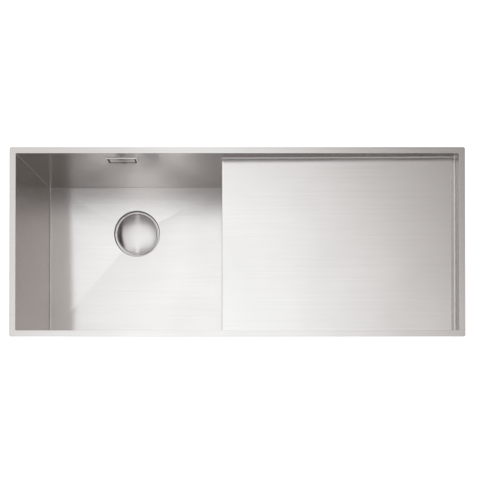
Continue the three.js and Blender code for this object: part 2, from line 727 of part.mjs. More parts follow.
// Where the overflow's spigot leaves the waste body, along +Y.
const SPIGOT_RADIUS = HOSE_DIAMETER / 2;
const BODY_INNER_RADIUS = CUP_DIAMETER / 2 + BODY_GAP;
const BODY_OUTER_RADIUS = BODY_INNER_RADIUS + BODY_WALL;
const BODY_CHAMBER_Z = FLOOR_SEAL_UNDER - BODY_CHAMBER_DEPTH;
const BODY_CONE_Z = BODY_CHAMBER_Z - BODY_CONE_HEIGHT;
const OUTLET_Z = BODY_CONE_Z - OUTLET_LENGTH;
const BODY_SPIGOT_Z = (FLOOR_SEAL_UNDER - BODY_FLANGE_THICKNESS + BODY_CHAMBER_Z) / 2;
const BODY_SPIGOT_END = BODY_OUTER_RADIUS + SPIGOT_LENGTH;

// Funnel-shaped body with a flange under the floor, a screw boss on four ribs, an outlet and a spigot.
function wasteBody() {
  const outletOuter = OUTLET_THREAD_DIAMETER / 2;
  const outletInner = outletOuter - OUTLET_WALL;
  const flangeOuter = BODY_INNER_RADIUS + BODY_WALL + BODY_FLANGE_WIDTH;
  const outside = turned([
    [0, FLOOR_SEAL_UNDER],
    [flangeOuter, FLOOR_SEAL_UNDER],
    [flangeOuter, FLOOR_SEAL_UNDER - BODY_FLANGE_THICKNESS],
    [BODY_OUTER_RADIUS, FLOOR_SEAL_UNDER - BODY_FLANGE_THICKNESS],
    [BODY_OUTER_RADIUS, BODY_CHAMBER_Z],
    [outletOuter, BODY_CONE_Z],
    [outletOuter, OUTLET_Z],
    [0, OUTLET_Z],
  ]);
  const inside = turned([
    [0, FLOOR_SEAL_UNDER + CUT_THROUGH],
    [BODY_INNER_RADIUS, FLOOR_SEAL_UNDER + CUT_THROUGH],
    [BODY_INNER_RADIUS, BODY_CHAMBER_Z],
    [outletInner, BODY_CONE_Z],
    [outletInner, OUTLET_Z - CUT_THROUGH],
    [0, OUTLET_Z - CUT_THROUGH],
  ]);
  const toBack = (body) => body.rotate([-90, 0, 0]).translate([0, 0, BODY_SPIGOT_Z]);
  const spigotRoot = BODY_INNER_RADIUS - BODY_WALL;
  const boreRun = [spigotRoot - BODY_WALL, BODY_SPIGOT_END + CUT_THROUGH];
  const spigot = toBack(rod(SPIGOT_RADIUS, [spigotRoot, BODY_SPIGOT_END], ROUND_STEPS / 2));
  const spigotBore = toBack(rod(SPIGOT_RADIUS - SPIGOT_WALL, boreRun, ROUND_STEPS / 2));
  const bossRadius = CROSSBAR_BOSS_DIAMETER / 2;
  const ribs = [BODY_CONE_Z, BODY_CHAMBER_Z];
  const half = BODY_RIB / 2;
  const spider = joined(
    block([-BODY_OUTER_RADIUS, BODY_OUTER_RADIUS], [-half, half], ribs),
    block([-half, half], [-BODY_OUTER_RADIUS, BODY_OUTER_RADIUS], ribs),
    rod(bossRadius, [BODY_CONE_Z, CROSSBAR_UNDER]),
  ).intersect(outside);
  const screwHole = rod(WASTE_SCREW_HOLE, [BODY_CONE_Z - CUT_THROUGH, CROSSBAR_UNDER + CUT_THROUGH]);
  return cut(joined(cut(joined(outside, spigot), inside, spigotBore), spider), screwHole);
}

// ---------------------------------------------------------------- basket and cover

const BASKET_RADIUS = CUP_INNER_RADIUS - BASKET_CLEARANCE;
const BASKET_TOP = SEAT_TOP - BASKET_TOP_GAP;
const STOPPER_TOP = CUP_FLOOR + STOPPER_THICKNESS;
const BASKET_FLOOR_TOP = STOPPER_TOP + BASKET_SHEET;
const STOPPER_RADIUS = CUP_OUTLET_DIAMETER / 2 + STOPPER_LIP;
const STOPPER_SCREW_HOLE = STOPPER_SCREW_DIAMETER / 2 + RUNNING_GAP;

// Tapered cup with a turned-out rim, rows of slots in its wall and holes in its floor.
function basket() {
  const bottom = BASKET_BOTTOM_DIAMETER / 2;
  const neck = BASKET_RADIUS - BASKET_RIM;
  const pressing = turned([
    [0, STOPPER_TOP],
    [bottom, STOPPER_TOP],
    [neck, BASKET_TOP - BASKET_RIM],
    [BASKET_RADIUS, BASKET_TOP - BASKET_RIM],
    [BASKET_RADIUS, BASKET_TOP],
    [neck - BASKET_SHEET, BASKET_TOP],
    [bottom - BASKET_SHEET, BASKET_FLOOR_TOP],
    [0, BASKET_FLOOR_TOP],
  ]);
  const wallHeight = BASKET_TOP - BASKET_RIM - BASKET_FLOOR_TOP;
  const slots = [];
  for (let row = 0; row < BASKET_SLOT_ROWS; row += 1) {
    const middle = BASKET_FLOOR_TOP + (wallHeight * (row + 0.5)) / BASKET_SLOT_ROWS;
    for (let index = 0; index < BASKET_SLOTS; index += 1) {
      const turn = ((index + row / 2) * 360) / BASKET_SLOTS;
      const slot = block(
        [bottom / 2, BASKET_RADIUS + SHEET],
        [-BASKET_SLOT_WIDTH / 2, BASKET_SLOT_WIDTH / 2],
        [middle - BASKET_SLOT_HEIGHT / 2, middle + BASKET_SLOT_HEIGHT / 2],
      );
      slots.push(slot.rotate([0, 0, turn]));
    }
  }
  const holeCircle = (bottom + STOPPER_SCREW_HOLE) / 2 + BASKET_SHEET;
  const holes = Array.from({ length: BASKET_FLOOR_HOLES }, (_, index) => {
    const turn = (index * 2 * Math.PI) / BASKET_FLOOR_HOLES;
    const hole = rod(BASKET_FLOOR_HOLE_DIAMETER / 2, [CUP_FLOOR, BASKET_FLOOR_TOP + SHEET], HOLE_STEPS);
    return hole.translate([holeCircle * Math.cos(turn), holeCircle * Math.sin(turn), 0]);
  });
  const screwHole = rod(STOPPER_SCREW_HOLE, [CUP_FLOOR, BASKET_FLOOR_TOP + SHEET]);
  return cut(pressing, ...slots, ...holes, screwHole);
}

// Rubber plug under the basket: it seats round the cup's outlet and is hollow over the screw heads.
function basketStopper() {
  const hollow = CUP_OUTLET_DIAMETER / 2 - SHEET;
  return turned([
    [STOPPER_SCREW_HOLE, CUP_FLOOR + STOPPER_HOLLOW],
    [hollow - STOPPER_HOLLOW, CUP_FLOOR + STOPPER_HOLLOW],
    [hollow, CUP_FLOOR],
    [STOPPER_RADIUS - SHEET, CUP_FLOOR],
    [STOPPER_RADIUS, CUP_FLOOR + SHEET],
    [BASKET_BOTTOM_DIAMETER / 2 - SHEET, STOPPER_TOP],
    [STOPPER_SCREW_HOLE, STOPPER_TOP],
  ]);
}

function basketKnob() {
  const stem = KNOB_STEM_DIAMETER / 2;
  const head = KNOB_DIAMETER / 2;
  const top = SEAT_TOP - KNOB_TOP_GAP;
  const crown = KNOB_HEAD_HEIGHT / 4;
  const post = turned(
    [
      [0, BASKET_FLOOR_TOP],
      [KNOB_FOOT_DIAMETER / 2, BASKET_FLOOR_TOP],
      [stem, BASKET_FLOOR_TOP + crown],
      [stem, top - KNOB_HEAD_HEIGHT - crown],
      [KNOB_CROWN_DIAMETER / 2, top - KNOB_HEAD_HEIGHT],
      [head, top - KNOB_HEAD_HEIGHT + crown],
      [head, top - crown],
      [KNOB_CROWN_DIAMETER / 2, top],
      [0, top],
    ],
    ROUND_STEPS / 2,
  );
  return cut(post, rod(STOPPER_SCREW_HOLE, [CUP_FLOOR, BASKET_FLOOR_TOP + STOPPER_SCREW_LENGTH]));
}

function stopperScrew() {
  const seat = CUP_FLOOR + STOPPER_HOLLOW;
  const shank = rod(STOPPER_SCREW_DIAMETER / 2, [seat - SHEET / 2, seat + STOPPER_SCREW_LENGTH]);
  const head = turned(
    [
      [0, seat - SHEET],
      [STOPPER_SCREW_DIAMETER * SCREW_CROWN_SHARE, seat - SHEET],
      [STOPPER_SCREW_DIAMETER, seat],
      [0, seat],
    ],
    SMALL_ROUND_STEPS,
  );
  return joined(shank, head);
}

// Shallow dome with a turned-down edge, on small feet that stand on the flange's seat.
function strainerCover() {
  const radius = COVER_DIAMETER / 2;
  const skirtBottom = SEAT_TOP + COVER_FOOT_HEIGHT;
  const edgeTop = skirtBottom + COVER_SKIRT;
  const dome = (height, reach) =>
    Array.from({ length: BEND_STEPS + 1 }, (_, step) => {
      const share = step / BEND_STEPS;
      return [reach * share, height + COVER_RISE * (1 - share * share)];
    });
  const profile = [
    ...dome(edgeTop, radius - COVER_SHEET / 2),
    [radius, edgeTop - COVER_SHEET / 2],
    [radius, skirtBottom],
    [radius - COVER_SHEET, skirtBottom],
    [radius - COVER_SHEET, edgeTop - COVER_SHEET],
    ...dome(edgeTop - COVER_SHEET, radius - 2 * COVER_SHEET).reverse(),
  ];
  const footCircle = (CUP_INNER_RADIUS + FLANGE_SHEET + radius) / 2;
  const feet = Array.from({ length: COVER_FEET }, (_, index) => {
    const turn = ((index + 0.5) * 2 * Math.PI) / COVER_FEET;
    const foot = rod(COVER_FOOT_DIAMETER / 2, [SEAT_TOP, edgeTop - COVER_SHEET / 2], HOLE_STEPS);
    return foot.translate([footCircle * Math.cos(turn), footCircle * Math.sin(turn), 0]);
  });
  return joined(turned(profile), ...feet);
}

const strainer = new THREE.Group();
strainer.position.set(DRAIN_X, DRAIN_Y, RECESS_Z);
strainer.add(
  meshOf("flange_seal", ring(SEAL_RING_INNER, SEAL_RING_OUTER, [0, FLANGE_UNDER]), blackRubber),
  meshOf("strainer_flange", strainerFlange(), polishedSteel),
  meshOf("waste_screw", wasteScrew(), zincSteel),
  meshOf("floor_seal", ring(SEAL_RING_INNER, SEAL_RING_OUTER, [FLOOR_SEAL_UNDER, -SHEET]), blackRubber),
  meshOf("waste_body", wasteBody(), whitePlastic),
  meshOf("basket", basket(), brushedSteel),
  meshOf("basket_stopper", basketStopper(), blackRubber),
  meshOf("basket_knob", basketKnob(), polishedSteel),
  meshOf("stopper_screw", stopperScrew(), zincSteel),
  meshOf("strainer_cover", strainerCover(), brushedSteel),
);

// ---------------------------------------------------------------- overflow, in a frame on the back wall

const HOUSING_FRONT = SHEET + OVERFLOW_SEAL_THICKNESS;
const HOUSING_BACK = HOUSING_FRONT + HOUSING_DEPTH;
const HOUSING_HALF_LENGTH = MOUTH_LENGTH / 2 + COLLAR_WALL + HOUSING_WALL + SHEET;
const HOUSING_HALF_HEIGHT = MOUTH_HEIGHT / 2 + COLLAR_WALL + HOUSING_WALL + SHEET;
const NUT_OUTER_RADIUS = HOSE_DIAMETER / 2 + RUNNING_GAP + NUT_WALL;
const HOUSING_SPIGOT_Y = SHEET + NUT_TO_WALL + NUT_OUTER_RADIUS + NUT_GRIP_HEIGHT;
const HOUSING_SPIGOT_TOP = HOUSING_SPIGOT_RISE - HOUSING_HALF_HEIGHT;
const HOUSING_SPIGOT_END = -HOUSING_HALF_HEIGHT - SPIGOT_LENGTH;
const POST_END = HOUSING_BACK - HOUSING_WALL;
const OVERFLOW_SCREW_HOLE = OVERFLOW_SCREW_DIAMETER / 2 + RUNNING_GAP;

// A body that stands on Z, laid down so that it runs to the back.
function laidBack(body) {
  return body.rotate([-90, 0, 0]);
}

// An upright rectangle with round corners, about the mouth's centre.
function centredRectangle(length, height, radius) {
  return roundedRectangle([-length / 2, length / 2], [-height / 2, height / 2], radius);
}

// Bevelled bezel, a collar through the wall, and a bar with a ring that the plate's post clamps.
function overflowFrame() {
  const face = centredRectangle(BEZEL_LENGTH, BEZEL_HEIGHT, CORNER_RADIUS);
  const bevelPoints = (shrink, depth) =>
    centredRectangle(BEZEL_LENGTH - 2 * shrink, BEZEL_HEIGHT - 2 * shrink, CORNER_RADIUS)
      .getPoints(BEND_STEPS)
      .map(({ x, y }) => new THREE.Vector3(x, depth, y));
  const bezel = solid(
    new ConvexGeometry([
      ...bevelPoints(0, 0),
      ...bevelPoints(0, BEZEL_BEVEL - BEZEL_THICKNESS),
      ...bevelPoints(BEZEL_BEVEL, -BEZEL_THICKNESS),
    ]),
  );
  const collar = centredRectangle(
    MOUTH_LENGTH + 2 * COLLAR_WALL,
    MOUTH_HEIGHT + 2 * COLLAR_WALL,
    CORNER_RADIUS,
  );
  const mouth = centredRectangle(MOUTH_LENGTH, MOUTH_HEIGHT, CORNER_RADIUS / 2);
  const bar = polygon([
    [-MOUTH_LENGTH / 2 - COLLAR_WALL / 2, -SHEET],
    [MOUTH_LENGTH / 2 + COLLAR_WALL / 2, -SHEET],
    [MOUTH_LENGTH / 2 + COLLAR_WALL / 2, SHEET],
    [-MOUTH_LENGTH / 2 - COLLAR_WALL / 2, SHEET],
  ]);
  const barDepth = [COLLAR_DEPTH - SHEET, COLLAR_DEPTH];
  const frame = cut(
    joined(bezel, barAlongY(collar, [-SHEET / 2, COLLAR_DEPTH])),
    barAlongY(mouth, [-BEZEL_THICKNESS - CUT_THROUGH, COLLAR_DEPTH + CUT_THROUGH]),
  );
  const ringRadius = POST_DIAMETER / 2 + 2 * SHEET;
  const postHole = laidBack(rod(POST_DIAMETER / 2 + RUNNING_GAP, [0, COLLAR_DEPTH + CUT_THROUGH]));
  return cut(joined(frame, barAlongY(bar, barDepth), laidBack(rod(ringRadius, barDepth))), postHole);
}

// Flat plate in the mouth, with a shouldered post that runs back to the housing.
function overflowPlate() {
  const front = PLATE_RECESS - BEZEL_THICKNESS;
  const plate = barAlongY(
    centredRectangle(PLATE_LENGTH, PLATE_HEIGHT, CORNER_RADIUS / 2),
    [front, front + PLATE_THICKNESS],
  );
  const shoulder = [front + PLATE_THICKNESS / 2, COLLAR_DEPTH - SHEET];
  const post = laidBack(rod(POST_DIAMETER / 2, [front + PLATE_THICKNESS / 2, POST_END]));
  const collar = laidBack(rod(POST_DIAMETER / 2 + SHEET, shoulder));
  const holeRun = [HOUSING_BACK - OVERFLOW_SCREW_LENGTH - SHEET, HOUSING_BACK];
  const hole = laidBack(rod(OVERFLOW_SCREW_HOLE, holeRun));
  return cut(joined(plate, post, collar), hole);
}

function overflowSeal() {
  const outside = centredRectangle(
    2 * (HOUSING_HALF_LENGTH + HOUSING_FLANGE),
    2 * (HOUSING_HALF_HEIGHT + HOUSING_FLANGE),
    HOUSING_FLANGE,
  );
  const inside = centredRectangle(
    2 * (HOUSING_HALF_LENGTH - HOUSING_WALL),
    2 * (HOUSING_HALF_HEIGHT - HOUSING_WALL),
    CORNER_RADIUS,
  );
  return cut(
    barAlongY(outside, [SHEET, HOUSING_FRONT]),
    barAlongY(inside, [SHEET - CUT_THROUGH, HOUSING_FRONT + CUT_THROUGH]),
  );
}

// A round bar on the axis of the housing's spigot.
function downSpout(radius, heights) {
  return rod(radius, heights, ROUND_STEPS / 2).translate([0, HOUSING_SPIGOT_Y, 0]);
}

// Rear box with a flange, open to the front, with a spigot that points down behind it.
function overflowHousing() {
  const flange = centredRectangle(
    2 * (HOUSING_HALF_LENGTH + HOUSING_FLANGE),
    2 * (HOUSING_HALF_HEIGHT + HOUSING_FLANGE),
    HOUSING_FLANGE,
  );
  const outside = centredRectangle(
    2 * HOUSING_HALF_LENGTH,
    2 * HOUSING_HALF_HEIGHT,
    HOUSING_WALL + CORNER_RADIUS,
  );
  const inside = centredRectangle(
    2 * (HOUSING_HALF_LENGTH - HOUSING_WALL),
    2 * (HOUSING_HALF_HEIGHT - HOUSING_WALL),
    CORNER_RADIUS,
  );
  const box = joined(
    barAlongY(outside, [HOUSING_FRONT, HOUSING_BACK]),
    barAlongY(flange, [HOUSING_FRONT, HOUSING_FRONT + HOUSING_WALL]),
    downSpout(SPIGOT_RADIUS, [HOUSING_SPIGOT_END, HOUSING_SPIGOT_TOP]),
  );
  const boreHeights = [HOUSING_SPIGOT_END - CUT_THROUGH, HOUSING_SPIGOT_TOP - HOUSING_WALL];
  const screwHole = rod(OVERFLOW_SCREW_HOLE, [POST_END - CUT_THROUGH, HOUSING_BACK + CUT_THROUGH]);
  return cut(
    box,
    barAlongY(inside, [HOUSING_FRONT - CUT_THROUGH, POST_END]),
    downSpout(SPIGOT_RADIUS - SPIGOT_WALL, boreHeights),
    laidBack(screwHole),
  );
}

function overflowScrew() {
  const head = OVERFLOW_SCREW_DIAMETER;
  const profile = turned(
    [
      [0, HOUSING_BACK - OVERFLOW_SCREW_LENGTH],
      [OVERFLOW_SCREW_DIAMETER / 2, HOUSING_BACK - OVERFLOW_SCREW_LENGTH],
      [OVERFLOW_SCREW_DIAMETER / 2, HOUSING_BACK],
      [head, HOUSING_BACK],
      [head, HOUSING_BACK + head / 4],
      [head * SCREW_CROWN_SHARE, HOUSING_BACK + head / 2],
      [0, HOUSING_BACK + head / 2],
    ],
    SMALL_ROUND_STEPS,
  );
  return laidBack(profile);
}

const overflow = new THREE.Group();
overflow.position.set(DRAIN_X, BACK_Y, OVERFLOW_Z);
overflow.add(
  meshOf("overflow_frame", overflowFrame(), polishedSteel),
  meshOf("overflow_plate", overflowPlate(), brushedSteel),
  meshOf("overflow_seal", overflowSeal(), blackRubber),
  meshOf("overflow_housing", overflowHousing(), whitePlastic),
  meshOf("overflow_screw", overflowScrew(), zincSteel),
);

// ---------------------------------------------------------------- hose and coupling nuts

// The hose leaves the waste body towards the back and ends, pointing up, under the housing's spigot.
function hoseRoute() {
  const start = new THREE.Vector3(
    DRAIN_X,
    DRAIN_Y + BODY_SPIGOT_END + RUNNING_GAP,
    RECESS_Z + BODY_SPIGOT_Z,
  );
  const end = new THREE.Vector3(
    DRAIN_X,
    BACK_Y + HOUSING_SPIGOT_Y,
    OVERFLOW_Z + HOUSING_SPIGOT_END - RUNNING_GAP,
  );
  const bendStart = start.clone().add(new THREE.Vector3(0, HOSE_DIAMETER, 0));
  const bend = end.y - bendStart.y;
  const corner = new THREE.Vector3(DRAIN_X, bendStart.y, start.z + bend);
  const quarter = (Math.PI / 2) * bend;
  const rise = end.z - corner.z;
  const at = (distance) => {
    if (distance <= HOSE_DIAMETER) {
      return { place: start.clone().add(new THREE.Vector3(0, distance, 0)), lean: 0 };
    }
    if (distance < HOSE_DIAMETER + quarter) {
      const lean = (distance - HOSE_DIAMETER) / bend;
      const onBend = new THREE.Vector3(0, bend * Math.sin(lean), -bend * Math.cos(lean));
      return { place: corner.clone().add(onBend), lean };
    }
    const up = distance - HOSE_DIAMETER - quarter;
    return { place: new THREE.Vector3(DRAIN_X, end.y, corner.z + up), lean: Math.PI / 2 };
  };
  return { at, length: HOSE_DIAMETER + quarter + rise };
}

// Rings of points along the route, outside and then back through the bore, joined into one closed skin.
function overflowHose() {
  const { at, length } = hoseRoute();
  const crest = HOSE_DIAMETER / 2;
  const root = crest - HOSE_ROOT_DEPTH;
  const ribs = Math.floor((length - 2 * HOSE_DIAMETER) / HOSE_RIB_PITCH);
  const ribbed = ribs * HOSE_RIB_PITCH;
  const ribStart = (length - ribbed) / 2;
  const outer = [[0, crest]];
  for (let rib = 0; rib < ribs; rib += 1) {
    const here = ribStart + rib * HOSE_RIB_PITCH;
    outer.push([here, root], [here + HOSE_RIB_PITCH / 2, crest]);
  }
  outer.push([ribStart + ribbed, root], [length, crest]);
  const boreStops = Math.ceil(ribs / 2);
  const bore = [[length, HOSE_BORE / 2]];
  for (let stop = boreStops; stop >= 0; stop -= 1) {
    bore.push([ribStart + (ribbed * stop) / boreStops, HOSE_BORE / 2]);
  }
  bore.push([0, HOSE_BORE / 2]);
  const rings = [...outer, ...bore].map(([distance, radius]) => {
    const { place, lean } = at(distance);
    return Array.from({ length: HOSE_SIDES }, (_, side) => {
      const turn = ((side + 0.5) * 2 * Math.PI) / HOSE_SIDES;
      const up = radius * Math.sin(turn);
      const across = radius * Math.cos(turn);
      return [place.x + across, place.y - up * Math.sin(lean), place.z + up * Math.cos(lean)];
    });
  });
  const index = [];
  rings.forEach((_, ringIndex) => {
    const here = ringIndex * HOSE_SIDES;
    const next = ((ringIndex + 1) % rings.length) * HOSE_SIDES;
    for (let side = 0; side < HOSE_SIDES; side += 1) {
      const other = (side + 1) % HOSE_SIDES;
      index.push(here + side, next + other, here + other, here + side, next + side, next + other);
    }
  });
  const geometry = new THREE.BufferGeometry()
    .setAttribute("position", new THREE.Float32BufferAttribute(rings.flat(2), 3))
    .setIndex(index);
  return solid(geometry);
}

// A ring with grips round it, centred on the joint between a spigot and the hose.
function couplingNut() {
  const outer = NUT_OUTER_RADIUS;
  const grips = Array.from({ length: NUT_GRIPS }, (_, index) => {
    const turn = (index * 360) / NUT_GRIPS;
    const grip = block(
      [outer - NUT_GRIP_HEIGHT, outer + NUT_GRIP_HEIGHT],
      [-NUT_GRIP_HEIGHT, NUT_GRIP_HEIGHT],
      [-NUT_LENGTH / 2 + NUT_GRIP_HEIGHT, NUT_LENGTH / 2 - NUT_GRIP_HEIGHT],
    );
    return grip.rotate([0, 0, turn]);
  });
  const band = ring(outer - NUT_WALL, outer, [-NUT_LENGTH / 2, NUT_LENGTH / 2], ROUND_STEPS / 2);
  return joined(band, ...grips);
}

const overflowLine = new THREE.Group();
const upperNut = meshOf("hose_nut_upper", couplingNut(), greyPlastic);
upperNut.position.set(DRAIN_X, BACK_Y + HOUSING_SPIGOT_Y, OVERFLOW_Z + HOUSING_SPIGOT_END);
const lowerNut = meshOf("hose_nut_lower", couplingNut(), greyPlastic);
lowerNut.position.set(DRAIN_X, DRAIN_Y + BODY_SPIGOT_END, RECESS_Z + BODY_SPIGOT_Z);
lowerNut.rotation.x = Math.PI / 2;
overflowLine.add(meshOf("overflow_hose", overflowHose(), greyPlastic), upperNut, lowerNut);

// ---------------------------------------------------------------- fixing clips

const SHELF_TOP = -CLIP_SHELF_DROP;
const SHELF_UNDER = SHELF_TOP - CLIP_SHEET;
const CLIP_REACH = CLIP_SCREW_OFFSET + CLIP_ARM_WIDTH / 2;
const ARM_TOP = SHELF_UNDER - CLIP_TRAVEL - RUNNING_GAP;
const ARM_UNDER = ARM_TOP - CLIP_ARM_HEIGHT;
const SCREW_HEAD_TOP = ARM_UNDER - RUNNING_GAP;
const CLIP_SCREW_HOLE = CLIP_SCREW_DIAMETER / 2 + RUNNING_GAP;

// A sheet welded flat to the wall, bent out into a shelf that holds the screw, with a gusset at each side.
function clipBracket() {
  const inner = SEAT_GAP;
  const strip = inner + CLIP_SHEET;
  const outline = polygon([
    [inner, -CLIP_TOP],
    [inner, SHELF_UNDER],
    [CLIP_REACH, SHELF_UNDER],
    [CLIP_REACH, SHELF_TOP],
    [strip, SHELF_TOP],
    [strip, -CLIP_TOP],
  ]);
  const gusset = polygon([
    [inner, SHELF_UNDER],
    [CLIP_REACH, SHELF_UNDER],
    [CLIP_REACH, SHELF_TOP],
    [strip, -CLIP_TOP - CLIP_SHEET],
    [inner, -CLIP_TOP - CLIP_SHEET],
  ]);
  const side = CLIP_WIDTH / 2;
  const hole = rod(CLIP_SCREW_HOLE, [SHELF_UNDER - CUT_THROUGH, SHELF_TOP + CUT_THROUGH]);
  return cut(
    joined(
      barAlongX(outline, [-side, side]),
      barAlongX(gusset, [-side, CLIP_SHEET - side]),
      barAlongX(gusset, [side - CLIP_SHEET, side]),
    ),
    hole.translate([0, CLIP_SCREW_OFFSET, 0]),
  );
}

function clipScrew() {
  const shank = rod(CLIP_SCREW_DIAMETER / 2, [SCREW_HEAD_TOP - CLIP_HEAD_HEIGHT / 2, SHELF_TOP + CLIP_STUB]);
  const head = rod(CLIP_ARM_WIDTH / 2, [SCREW_HEAD_TOP - CLIP_HEAD_HEIGHT, SCREW_HEAD_TOP], HEXAGON_SIDES);
  return joined(shank, head);
}

// An arm with an eye for the screw and a toe that presses on the worktop's underside.
function clipArm() {
  const half = CLIP_ARM_WIDTH / 2;
  const outline = new THREE.Shape();
  outline.absarc(0, 0, half, Math.PI / 2, 1.5 * Math.PI);
  outline.lineTo(CLIP_ARM_LENGTH, -half);
  outline.lineTo(CLIP_ARM_LENGTH, half);
  const toe = [CLIP_ARM_LENGTH - CLIP_ARM_HEIGHT, CLIP_ARM_LENGTH];
  return cut(
    joined(
      prism(outline, [ARM_UNDER, ARM_TOP]),
      block(toe, [-half, half], [ARM_UNDER, ARM_TOP + CLIP_TOE]),
    ),
    rod(CLIP_SCREW_HOLE, [ARM_UNDER - CUT_THROUGH, ARM_TOP + CUT_THROUGH]),
  );
}

// One clip in a frame on the wall's outer face: +Y leads out, away from the wall.
function fixingClip(name, x, side) {
  const group = new THREE.Group();
  group.position.set(x, side * (OPENING_DEPTH / 2 + SHEET), 0);
  group.rotation.z = side > 0 ? 0 : Math.PI;
  const screw = meshOf(`${name}_screw`, clipScrew(), zincSteel);
  const arm = meshOf(`${name}_arm`, clipArm(), zincSteel);
  screw.position.y = CLIP_SCREW_OFFSET;
  arm.position.y = CLIP_SCREW_OFFSET;
  group.add(meshOf(`${name}_bracket`, clipBracket(), zincSteel), screw, arm);
  return group;
}

const clips = new THREE.Group();
for (const [place, share] of Object.entries(CLIP_SHARES)) {
  const x = share * OPENING_LENGTH;
  clips.add(fixingClip(`clip_back_${place}`, x, 1), fixingClip(`clip_front_${place}`, x, -1));
}

const sink = new THREE.Group();
sink.add(sheetWork, strainer, overflow, overflowLine, clips);

export default sink;
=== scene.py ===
"""The looks of an inset kitchen sink with one bowl and one drainboard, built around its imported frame.

Lengths are in metres and +Z is up. The origin is the middle of the worktop's cut-out, at the worktop's top.
"""

import sys

import logging
import math
from collections.abc import Callable, Iterator, Sequence
from contextlib import contextmanager
from dataclasses import dataclass, field
from enum import Enum

import bmesh
import bpy
from mathutils import Matrix, Vector

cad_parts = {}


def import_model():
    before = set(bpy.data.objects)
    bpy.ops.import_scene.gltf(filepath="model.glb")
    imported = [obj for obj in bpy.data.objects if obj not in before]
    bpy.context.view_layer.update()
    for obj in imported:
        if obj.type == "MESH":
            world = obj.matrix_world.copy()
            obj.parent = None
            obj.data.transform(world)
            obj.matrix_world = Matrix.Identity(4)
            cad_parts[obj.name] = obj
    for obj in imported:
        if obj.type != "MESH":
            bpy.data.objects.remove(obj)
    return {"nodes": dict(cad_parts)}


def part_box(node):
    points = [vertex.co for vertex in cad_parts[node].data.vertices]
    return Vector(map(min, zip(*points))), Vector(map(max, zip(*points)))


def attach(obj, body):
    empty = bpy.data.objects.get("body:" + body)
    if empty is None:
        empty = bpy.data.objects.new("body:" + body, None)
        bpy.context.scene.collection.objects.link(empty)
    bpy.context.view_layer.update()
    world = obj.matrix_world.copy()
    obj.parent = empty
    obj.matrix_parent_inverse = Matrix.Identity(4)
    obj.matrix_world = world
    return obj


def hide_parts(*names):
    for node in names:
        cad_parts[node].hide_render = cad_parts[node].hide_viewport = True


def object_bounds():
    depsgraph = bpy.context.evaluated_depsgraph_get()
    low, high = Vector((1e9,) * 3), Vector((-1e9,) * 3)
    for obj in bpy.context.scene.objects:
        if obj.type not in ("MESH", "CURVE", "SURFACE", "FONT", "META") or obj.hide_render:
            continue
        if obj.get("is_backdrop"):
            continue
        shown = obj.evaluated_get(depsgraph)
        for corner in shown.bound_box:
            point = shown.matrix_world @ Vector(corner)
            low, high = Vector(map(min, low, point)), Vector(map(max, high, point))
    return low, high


LOG = logging.getLogger("sink")

MM = 0.001
SHEET = 1.2 * MM
RUNNING_GAP = 0.3 * MM
CUT_THROUGH = 1 * MM
MERGE = 0.01 * MM
ON_PLANE = 0.001 * MM
ALIGNED = 0.9
HALF_SIDE = 0.499
QUARTER = math.pi / 2
ORIGIN = Vector((0, 0, 0))
# A screw's crossed recess: its reach, half its width and its depth, as shares of the head's radius.
CROSS = (0.6, 0.12, 0.35)

Piece = bpy.types.Object
Node = bpy.types.Node
Tree = bpy.types.NodeTree
Socket = bpy.types.NodeSocket
# A point as (across, up), or as (across, up, radius) where its corner is round.
Corner = tuple[float, float] | tuple[float, float, float]
Outline = list[tuple[float, float]]
# A rectangle's length, height and corner radius.
Panel = tuple[float, float, float]
# Where a change starts and ends, and the values at either end.
Fall = tuple[float, float, float, float]


# ---------------- modelling


class Pick(Enum):
    """What is selected in edit mode."""

    VERTS = "VERT"
    EDGES = "EDGE"
    FACES = "FACE"


class Run(Enum):
    """The axis along which an outline is drawn out, with the two axes that the outline lies in."""

    X = (1, 2, 0)
    Y = (0, 2, 1)
    Z = (0, 1, 2)

    def place(self, across: float, up: float, along: float) -> Vector:
        """Returns the point that lies at these three distances."""
        point = Vector((0, 0, 0))
        for axis, value in zip(self.value, (across, up, along)):
            point[axis] = value
        return point


def deselect() -> None:
    """Leaves nothing selected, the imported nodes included."""
    bpy.ops.object.select_all(action="DESELECT")


def take_up(piece: Piece) -> None:
    """Makes one piece the only one that is selected, and the active one."""
    deselect()
    piece.select_set(True)
    bpy.context.view_layer.objects.active = piece


def settle(piece: Piece) -> Piece:
    """Puts a piece's place, turn and size into its mesh."""
    take_up(piece)
    bpy.ops.object.transform_apply(location=True, rotation=True, scale=True)
    return piece


def newest(name: str) -> Piece:
    """Names what the last operator added, and settles it."""
    piece = bpy.context.object
    piece.name = name
    piece.data.name = name
    return settle(piece)


@contextmanager
def editing(piece: Piece) -> Iterator[None]:
    """Opens a piece in edit mode with nothing selected, and closes it afterwards."""
    take_up(piece)
    bpy.ops.object.mode_set(mode="EDIT")
    bpy.ops.mesh.select_mode(type="VERT")
    bpy.ops.mesh.select_all(action="DESELECT")
    try:
        yield
    finally:
        bpy.ops.object.mode_set(mode="OBJECT")


def on_all(operator: Callable[..., object], **settings: object) -> None:
    """Selects the whole mesh in edit mode and runs an operator on it."""
    bpy.ops.mesh.select_all(action="SELECT")
    operator(**settings)


